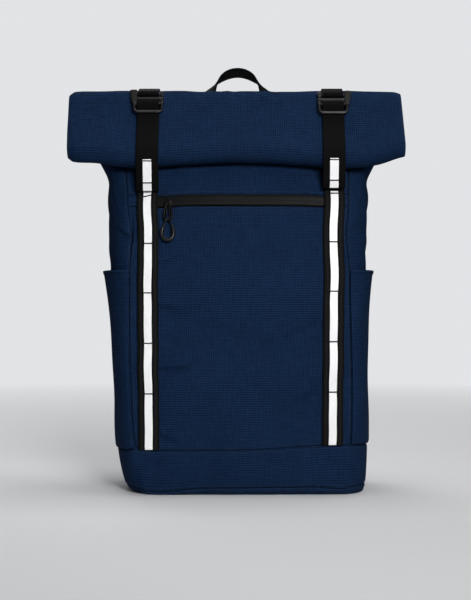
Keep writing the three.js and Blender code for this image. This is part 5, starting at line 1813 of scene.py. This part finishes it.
@dataclass
class FrontZip:
    """The front pocket's coated zip with its slider, wire ring and looped pull."""

    tape_wall: float = 1.2
    slider_x: float = -82.0
    slider_z: float = 331.0
    slider_half: float = 5.4
    bridge_wire: float = 0.95
    pull_lift: float = 4.0
    ring_length: float = 20.0
    ring_wires: tuple[float, float] = (1.05, 0.7)  # radii of the outer and the inner ring
    loop_length: float = 25.5
    loop_half: float = 8.8

    def build_tape(self, room: Workroom) -> None:
        """Makes the two halves of the tape, which meet in a shallow groove along the middle."""
        left, right = zip_ends()
        z = ZIP_LOW + 0.2 + fine_edges(ZIP_HIGH - ZIP_LOW - 0.4, 0.8, 2.0)
        u = np.linspace(left + SEAM_U, right - SEAM_U, 150)
        uu, zz = np.meshgrid(u, z)
        from_middle = np.abs(zz - ZIP_MIDDLE)
        out = (0.3 - 0.2 * bell(from_middle, 0.4) + 0.06 * bell(from_middle - 1.6, 1.0)
               - 0.8 * bell(6.3 - from_middle, 0.9))
        tape = Surface().add_grid(BODY.cloth(uu, zz, out), (u - u[0]) * FRONT_SPREAD, z)
        piece = tape.make("zip_tape_coated")
        thicken(piece, self.tape_wall)
        room.take(piece, room.finishes.zip, Slot.ZIP, "zip_tape")

    def seat(self) -> tuple[Array, Array]:
        """The slider's place on the zip, and its right, up and out directions as rows."""
        z = np.array(self.slider_z)
        u = BODY.front_u(np.array(self.slider_x), z)
        out = BODY.outward(u, z)
        right = unit(X_AXIS - out * out[0])
        return BODY.cloth(u, z, 0.4), np.stack([right, np.cross(out, right), out])

    def build_slider(self, room: Workroom) -> None:
        """Makes the slider: a waisted body with rounded shoulders and a wire bridge."""
        place, axes = self.seat()
        h = np.linspace(-self.slider_half, self.slider_half, 26)
        waist = 3.4 + smoothstep(-self.slider_half, -1.0, h) - 0.5 * smoothstep(2.5, self.slider_half, h)
        ends = np.sqrt(np.clip(1 - (np.abs(h) / 5.5) ** 8, 0.08, 1.0))
        line = place + h[:, None] * axes[1] + 1.3 * axes[2]
        scale = np.stack([waist * ends, 1.3 * ends], axis=-1)
        across, face = np.tile(-axes[0], (len(h), 1)), np.tile(axes[2], (len(h), 1))
        body = sweep(line, across, face, block_profile(2.0, 2.0, 0.4), 20, scale)
        turn = np.linspace(0.0, math.pi, 18)[:, None]
        bridge = place + 4.0 * np.cos(turn) * axes[1] + (2.0 + 4.2 * np.sin(turn)) * axes[2]
        flat_tube(bridge, np.full(len(turn), self.bridge_wire), axes[0], surface=body)
        room.take(body.make("zip_slider_metal"), room.finishes.blackened, Slot.METAL, "zip_slider")

    def build_ring(self, room: Workroom) -> None:
        """Makes the two wires of the ring, which widen downwards."""
        place, axes = self.seat()
        turn = np.linspace(0.0, 2 * math.pi, 60, endpoint=False)
        h = self.ring_length / 2 * (signed_power(np.cos(turn), 0.75) - 1)
        x = (3.4 + 1.6 * smoothstep(4.0, 16.0, -h)) * signed_power(np.sin(turn), 0.6)
        lift = np.full(len(turn), self.pull_lift)
        outer, inner = np.stack([x, h, lift], axis=-1), np.stack([x * 0.42, h * 0.8 - 1.6, lift], axis=-1)
        ring = Surface()
        for wire, radius, sides in zip((outer, inner), self.ring_wires, (10, 8)):
            line = even_line(place + wire @ axes, 0.8, True)
            flat_tube(line, np.full(len(line), radius), axes[2], sides, True, ring)
        room.take(ring.make("zip_pull_ring_wire"), room.finishes.blackened, Slot.METAL, "zip_pull_ring")

    def build_loop(self, room: Workroom) -> None:
        """Makes the teardrop loop, whose ends cross at the ring and whose grip is thick."""
        place, axes = self.seat()
        turn = np.linspace(0.0, 2 * math.pi, 96, endpoint=False)
        drop = self.loop_length / 2 * (1 - np.cos(turn))
        cross = np.minimum(1.0, 1.6 * np.abs(np.sin(turn))) * np.sign(np.sin(turn))
        lift = self.pull_lift - 2.0 * cross * bell(drop, 7.0)
        x = self.loop_half * np.sin(turn) * np.abs(np.sin(turn / 2)) ** 1.1
        loop = place + np.stack([x, 2.5 - self.ring_length - drop, lift], axis=-1) @ axes
        grip = flat_tube(loop, 0.95 + 1.15 * smoothstep(8.0, 11.0, drop), axes[2], 12, True)
        room.take(grip.make("zip_pull_loop_grip"), room.finishes.plastic, Slot.PLASTIC, "zip_pull_loop")

    def build(self, room: Workroom) -> None:
        """Makes the whole zip."""
        self.build_tape(room)
        self.build_slider(room)
        self.build_ring(room)
        self.build_loop(room)


# Handle, back and shoulder straps


@dataclass
class Handle:
    """The haul handle behind the roll, flat at its feet and turned edgeways over the top."""

    x: float = -3.1
    half: float = 46.0
    splay: float = 7.0
    width: float = 25.0
    thickness: float = 2.0
    foot_off: float = 1.95      # the foot's middle off the back
    foot_heights: tuple[float, ...] = (388.0, 392.0, 402.0, 412.0)
    leg_y: float = -44.0
    top: tuple[float, float] = (-36.0, 498.9)
    leg_drop: float = 56.0      # below the top, where a leg stands clear of the roll
    bend_drop: float = 12.8     # and where it bends over
    bend_in: float = 26.0
    crown_drop: float = 5.4
    tilt: float = math.radians(15.6)
    tack_heights: tuple[float, ...] = (392.0, 406.0)
    tack_length: float = 21.0
    tack_off: float = 3.0

    def foot_u(self, s: float, z: Array) -> Array:
        """Places of a foot's middle round the body, for s -1 on the left and 1 on the right."""
        return BODY.back_u(self.x + s * (self.half + self.splay), z)

    def leg(self, s: float) -> Array:
        """Points of one leg from its foot up to the bend."""
        z = np.array(self.foot_heights)
        y, top = self.top
        knee = (self.x + s * self.half, self.leg_y, top - self.leg_drop)
        bend = (self.x + s * (self.half - self.bend_in), y, top - self.bend_drop)
        return np.concatenate([BODY.laid(self.foot_u(s, z), z, self.foot_off), [knee, bend]])

    def build(self, room: Workroom) -> None:
        """Makes the handle as one strap along a smooth arch, and the tacks at its feet."""
        crown = np.array([[self.x, self.top[0], self.top[1] - self.crown_drop]])
        line = even_line(np.concatenate([self.leg(-1.0), crown, self.leg(1.0)[::-1]]), 1.6)
        t = lengths_along(line)
        t = t / t[-1]
        along = tangents(line)
        twist = smoothstep(0.17, 0.5, np.minimum(t, 1 - t))[:, None]
        sign = np.where(t < 0.5, 1.0, -1.0)[:, None]
        tilted = np.array([0.0, -math.cos(self.tilt), math.sin(self.tilt)])
        wish = X_AXIS * sign * (1 - twist) + tilted * twist
        across = unit(wish - along * np.sum(wish * along, axis=-1, keepdims=True))
        strap = sweep(line, -across, np.cross(along, across), strap_profile(self.width, self.thickness), 34)
        room.webbing(strap, "haul_handle")
        tacks = []
        for s in (-1.0, 1.0):
            for height in self.tack_heights:
                z = np.array(height)
                u = self.foot_u(s, z)
                tacks.append((BODY.laid(u, z, self.tack_off), -BODY.around(u, z), BODY.outward(u, z)))
        sewn = TACK.place("handle_bar_tacks", *TACK.bars(tacks, self.tack_length))
        room.take(sewn, room.finishes.black_thread, Slot.WEBBING)


def puff(piece: bpy.types.Object, seam: Array, pressure: float, cap: float, frames: int = 20) -> None:
    """Swells a closed pad by a cloth simulation with inner pressure and no gravity, held at its seam.

    Args:
        piece: The closed pad.
        seam: Hold of each vertex, 1 where the pad is sewn down.
        pressure: Pressure inside the pad.
        cap: Farthest that a point may move, in millimetres.
        frames: Steps of the simulation.
    """
    mesh = piece.data
    before = np.empty(len(mesh.vertices) * 3)
    mesh.vertices.foreach_get("co", before)
    before = before.reshape(-1, 3)
    held = piece.vertex_groups.new(name="seam")
    held.add(np.flatnonzero(seam > 0.5).tolist(), 1.0, "REPLACE")
    cloth = piece.modifiers.new("cloth", "CLOTH")
    cloth.settings.vertex_group_mass = held.name
    cloth.settings.use_pressure = True
    cloth.settings.uniform_pressure_force = pressure
    cloth.settings.effector_weights.gravity = 0.0
    cloth.settings.tension_stiffness = 25.0
    cloth.settings.compression_stiffness = 25.0
    cloth.settings.bending_stiffness = 2.0
    cloth.point_cache.frame_start = 1
    cloth.point_cache.frame_end = frames
    scene = bpy.context.scene
    for step in range(1, frames + 1):
        scene.frame_set(step)
    worked = piece.evaluated_get(bpy.context.evaluated_depsgraph_get())
    swollen = worked.to_mesh()
    after = np.empty(len(swollen.vertices) * 3)
    swollen.vertices.foreach_get("co", after)
    worked.to_mesh_clear()
    piece.modifiers.clear()
    piece.vertex_groups.clear()
    scene.frame_set(1)
    move = after.reshape(-1, 3) - before
    far = np.linalg.norm(move, axis=1, keepdims=True)
    move *= np.minimum(1.0, cap * MM / np.maximum(far, 1e-12))
    mesh.vertices.foreach_set("co", (before + move).ravel())
    mesh.update()
    LOG.info("pad %s swelled by up to %.1f mm", piece.name, np.linalg.norm(move, axis=1).max() / MM)
    smooth = piece.modifiers.new("smooth", "SUBSURF")
    smooth.levels = smooth.render_levels = 1


@dataclass
class Back:
    """The foam back, sewn in along its edges, and the padded shoulder straps with their adjusters."""

    pad: float = 8.0
    pad_width: float = 290.0
    pad_round: float = 10.0     # the pad thins towards its seams over this distance
    strap_stops: tuple[tuple[float, float, float], ...] = (
        (48.0, 8.0, 340.0), (56.0, 24.0, 300.0), (74.0, 36.0, 234.0), (90.0, 34.0, 169.0),
        (99.0, 24.0, 122.0),
    )
    strap_width: float = 62.0
    strap_pad: float = 9.0
    strap_sides: int = 36
    adjuster_half: tuple[float, float] = (15.0, 9.0)
    adjuster_bend: float = 2.5
    adjuster_wire: float = 1.7
    adjuster_drop: float = 11.5     # its middle below the end of the strap
    webbing: float = 1.5
    webbing_width: float = 24.0
    webbing_turn: float = 3.9       # radius of its turn round the middle bar
    anchor: tuple[float, float] = (124.0, 60.0)     # x and height of the webbing's lower end
    anchor_off: float = 1.55

    def build_pad(self, room: Workroom) -> None:
        """Makes the back pad: a slab that thins to its seams, held there and swollen between them."""
        low, high = BASE_SEAM + 0.2, BACK_PAD_TOP - 0.2
        z = low + fine_edges(high - low, 5.0)
        share = fine_edges(self.pad_width, 5.0) / self.pad_width
        uu, zz = np.meshgrid(BACK_U[0] + (BACK_U[1] - BACK_U[0]) * share, z)
        side = np.minimum(share, 1 - share) * self.pad_width
        edge = np.minimum(side[None, :], np.minimum(zz - low, high - zz))
        full = np.sqrt(np.clip(1 - (1 - np.clip(edge / self.pad_round, 0.0, 1.0)) ** 2, 0.09, 1.0))
        middle = -self.pad / 2
        half = (self.pad / 2 - 0.6) * full
        body, out = BODY.outline(uu, zz) + BODY.settled(uu, zz), BODY.outward(uu, zz)
        outer = body + out * (middle + half)[..., None]
        inner = body + out * (middle - half)[..., None]
        ring = np.concatenate([outer, inner[:, ::-1]], axis=1)
        girth = np.concatenate([share, 1.01 + share, [2.02]]) * self.pad_width
        slab = Surface().add_grid(ring, girth, z, round_columns=True).add_caps(ring.shape[1], len(z))
        held = np.append(np.tile(edge < 1.0, (1, 2)).ravel(), [True, True]).astype(float)
        piece = slab.make("back_panel_pad")
        puff(piece, held, 3.0, 1.6)
        room.take(piece, room.finishes.canvas, Slot.CANVAS, "back_panel")

    def strap_path(self, side: Side) -> tuple[Array, Array, Array]:
        """Centres, directions across and directions of the face along a shoulder strap."""
        line = even_line(np.array(self.strap_stops) * [side.value, 1.0, 1.0], 3.0)
        along = tangents(line)
        across = unit(np.cross(np.array([0.0, 1.0, 0.0]), along))
        return line, across, np.cross(along, across)

    def build_strap(self, room: Workroom, side: Side) -> None:
        """Makes a padded shoulder strap with a bound edge.

        The pad's half width narrows over the last quarter, and its section is a flattened oval.
        """
        line, across, face = self.strap_path(side)
        t = np.linspace(0.0, 1.0, len(line))
        from_end = np.minimum(t, 1 - t)
        width = 1 - 0.35 * smoothstep(0.75, 1.0, t)
        ends = np.sqrt(np.clip(1 - (1 - np.clip(from_end / 0.03, 0.0, 1.0)) ** 2, 0.25, 1.0))
        scale = np.stack([width * (0.9 + 0.1 * ends), ends], axis=-1)
        profile = block_profile(self.strap_width - 1.6, self.strap_pad - 2.0, 0.5)
        node = side.node("shoulder_strap")
        piece = sweep(line, across, face, profile, self.strap_sides, scale).make(f"{node}_pad")
        edge = np.abs(np.cos(np.linspace(0.0, 2 * math.pi, self.strap_sides, endpoint=False))) > 0.97
        held = np.tile(edge, (len(line), 1)) | (from_end < 0.01)[:, None]
        puff(piece, np.append(held.ravel(), [True, True]).astype(float), 4.0, 1.4)
        room.take(piece, room.finishes.canvas, Slot.CANVAS, node)
        edges = Surface()
        rows = []
        for way in (-1.0, 1.0):
            border = line + across * (way * (self.strap_width / 2 - 0.6) * width)[:, None]
            flat = unit(np.cross(tangents(border), face))
            sweep(border, flat, face, block_profile(3.0, 3.6, 0.6), 14, surface=edges)
            for lift in (-1.0, 1.0):
                rows.append((border - across * (way * 4.2) + face * (lift * 4.4), face * lift))
        room.take(edges.make(side.node("shoulder_binding")), room.finishes.webbing, Slot.WEBBING)
        sewn = TOPSTITCH.sew(side.node("shoulder_stitching"), rows)
        room.take(sewn, room.finishes.navy_thread, Slot.CANVAS)

    def build_adjuster(self, room: Workroom, side: Side) -> None:
        """Makes the ladder adjuster below a strap, and the webbing that turns round its middle bar."""
        line, across, _ = self.strap_path(side)
        up, wide = -tangents(line)[-1], across[-1]
        out = unit(np.cross(wide, up))
        out = out * np.sign(out[1])
        place = line[-1] - up * self.adjuster_drop
        plane = np.stack([wide, up])
        turn = np.radians(np.linspace(0.0, 90.0, 5))
        inner = np.array(self.adjuster_half) - self.adjuster_bend
        quarters = (((1, 1), 0.0), ((-1, 1), math.pi / 2), ((-1, -1), math.pi), ((1, -1), 1.5 * math.pi))
        bends = np.concatenate([
            inner * corner + self.adjuster_bend * np.stack([np.cos(turn + a), np.sin(turn + a)], axis=-1)
            for corner, a in quarters
        ])
        rim = even_line(place + bends @ plane, 1.2, True)
        ladder = flat_tube(rim, np.full(len(rim), self.adjuster_wire), out, 12, True)
        reach = self.adjuster_half[0]
        rung = place + np.linspace(-reach, reach, 16)[:, None] * wide
        flat_tube(rung, np.full(len(rung), self.adjuster_wire), out, 12, False, ladder)
        node = side.node("strap_adjuster")
        room.take(ladder.make(f"{node}_moulded"), room.finishes.plastic, Slot.PLASTIC, node)
        path = self.webbing_path(side, place, up, out)
        along = tangents(path)
        cross = unit(wide - along * (along @ wide)[:, None])
        profile = strap_profile(self.webbing_width, self.webbing)
        strap = sweep(path, cross, np.cross(cross, along), profile, 30)
        room.webbing(strap, side.node("strap_webbing"))

    def webbing_path(self, side: Side, place: Array, up: Array, out: Array) -> Array:
        """Line of the lower webbing: from the base seam up behind the adjuster, round its bar and down free.

        Args:
            side: Left or right.
            place: Middle of the adjuster.
            up: Direction up the adjuster.
            out: Direction out of its face.

        Returns:
            (n, 3) points.
        """
        def beside(h: Array, n: Array) -> Array:
            """Points up by h and out by n from the adjuster's middle."""
            return place + np.asarray(h)[..., None] * up + np.asarray(n)[..., None] * out

        x, height = self.anchor
        z = np.array(height)
        anchor = BODY.laid(BODY.back_u(np.array(side.value * x), z), z, self.anchor_off)
        radius = self.webbing_turn
        below = beside(-13.0, -radius)
        leave = anchor + (below - anchor) * 0.3
        leave[1] = anchor[1] + 1.0
        turn = np.linspace(math.pi, 0.0, 7)
        bar = beside(radius * np.sin(turn), radius * np.cos(turn))
        free = beside(-np.array([8.0, 20.0, 46.0]), radius + np.array([0.0, 1.0, 3.0]))
        near = beside(-radius, -radius)
        return even_line(np.concatenate([np.stack([anchor, leave, below, near]), bar, free]), 1.6)

    def build(self, room: Workroom) -> None:
        """Makes the back and both shoulder straps."""
        self.build_pad(room)
        for side in Side:
            self.build_strap(room, side)
            self.build_adjuster(room, side)


# Studio


@dataclass(frozen=True)
class Lamp:
    """A square area light, with its places and its side in metres."""

    name: str
    place: tuple[float, float, float]
    aim: tuple[float, float, float]
    size: float
    power: float                # watts
    spread: float = 180.0       # full angle that its light fans out by, in degrees

    def build(self) -> None:
        """Hangs the light and turns its face to its aim."""
        data = bpy.data.lights.new(self.name, "AREA")
        data.energy = self.power
        data.size = self.size
        data.spread = math.radians(self.spread)
        light = bpy.data.objects.new(self.name, data)
        bpy.context.scene.collection.objects.link(light)
        way = unit(np.array(self.aim) - np.array(self.place))
        light.location = self.place
        light.rotation_euler = (math.acos(-way[2]), 0.0, math.atan2(way[0], -way[1]) + math.pi)


LAMPS = (
    Lamp("key", (0.55, -2.0, 0.95), (0.0, 0.0, 0.3), 0.7, 3.35, 50.0),
    Lamp("top", (0.2, 0.0, 2.1), (0.0, 0.0, 0.25), 1.2, 18.0),
    Lamp("rear", (-0.6, 1.3, 1.6), (0.0, 0.1, 0.3), 1.2, 9.0),
)


@dataclass
class Set:
    """Pale floor and air, soft lights, and the camera in front of the bag."""

    camera: tuple[float, float, float] = (-5.6, -1634.0, 221.0)
    lens: float = 79.9
    sensor: float = 36.0
    floor_half: float = 9000.0
    fill: float = 0.12
    fill_colour: Colour = (0.93, 0.95, 1.0)

    def build_floor(self, room: Workroom) -> None:
        """Makes the level floor, wide enough to end in the haze on every side."""
        line = np.linspace(-self.floor_half, self.floor_half, 13)
        xx, yy = np.meshgrid(line, line)
        piece = Surface().add_grid(np.stack([xx, yy, 0 * xx], axis=-1), line, line).make("studio_floor")
        piece.data.materials.append(room.finishes.paper)

    def build_air(self) -> None:
        """Makes the pale air that the camera sees, with a weaker light from all round."""
        world = bpy.data.worlds.new("studio")
        world.use_nodes = True
        tree = world.node_tree
        seen = tree.nodes["Background"]
        seen.inputs["Color"].default_value = rgba(PALE_AIR)
        fill = tree.nodes.new("ShaderNodeBackground")
        fill.inputs["Color"].default_value = rgba(self.fill_colour)
        fill.inputs["Strength"].default_value = self.fill
        either = tree.nodes.new("ShaderNodeMixShader")
        path = tree.nodes.new("ShaderNodeLightPath")
        sources = (path.outputs["Is Camera Ray"], fill.outputs[0], seen.outputs[0])
        for source, socket in zip(sources, either.inputs):
            tree.links.new(source, socket)
        tree.links.new(either.outputs[0], tree.nodes["World Output"].inputs["Surface"])
        bpy.context.scene.world = world

    def build_camera(self) -> None:
        """Makes the camera, level and square to the front."""
        scene = bpy.context.scene
        data = bpy.data.cameras.new("camera")
        data.lens = self.lens
        data.sensor_width = self.sensor
        camera = bpy.data.objects.new("camera", data)
        scene.collection.objects.link(camera)
        camera.location = (np.array(self.camera) + SHIFT) * MM
        camera.rotation_euler = (math.pi / 2, 0.0, 0.0)
        scene.camera = camera

    def build(self, room: Workroom) -> None:
        """Makes the floor, lights, world and camera."""
        self.build_floor(room)
        for lamp in LAMPS:
            lamp.build()
        self.build_air()
        bpy.context.scene.view_settings.view_transform = "Standard"
        self.build_camera()


def main() -> None:
    """Builds the sub-assemblies in order and reports their pieces."""
    logging.basicConfig(level=logging.INFO, format="%(name)s: %(message)s")
    room = Workroom(Finishes())
    Set().build(room)
    Shell().build(room)
    RollTop().build(room)
    FrontStraps().build(room)
    Hooks().build(room)
    FrontZip().build(room)
    Handle().build(room)
    Back().build(room)
    LOG.info("%d pieces", len(room.made))


if __name__ == "__main__":
    main()
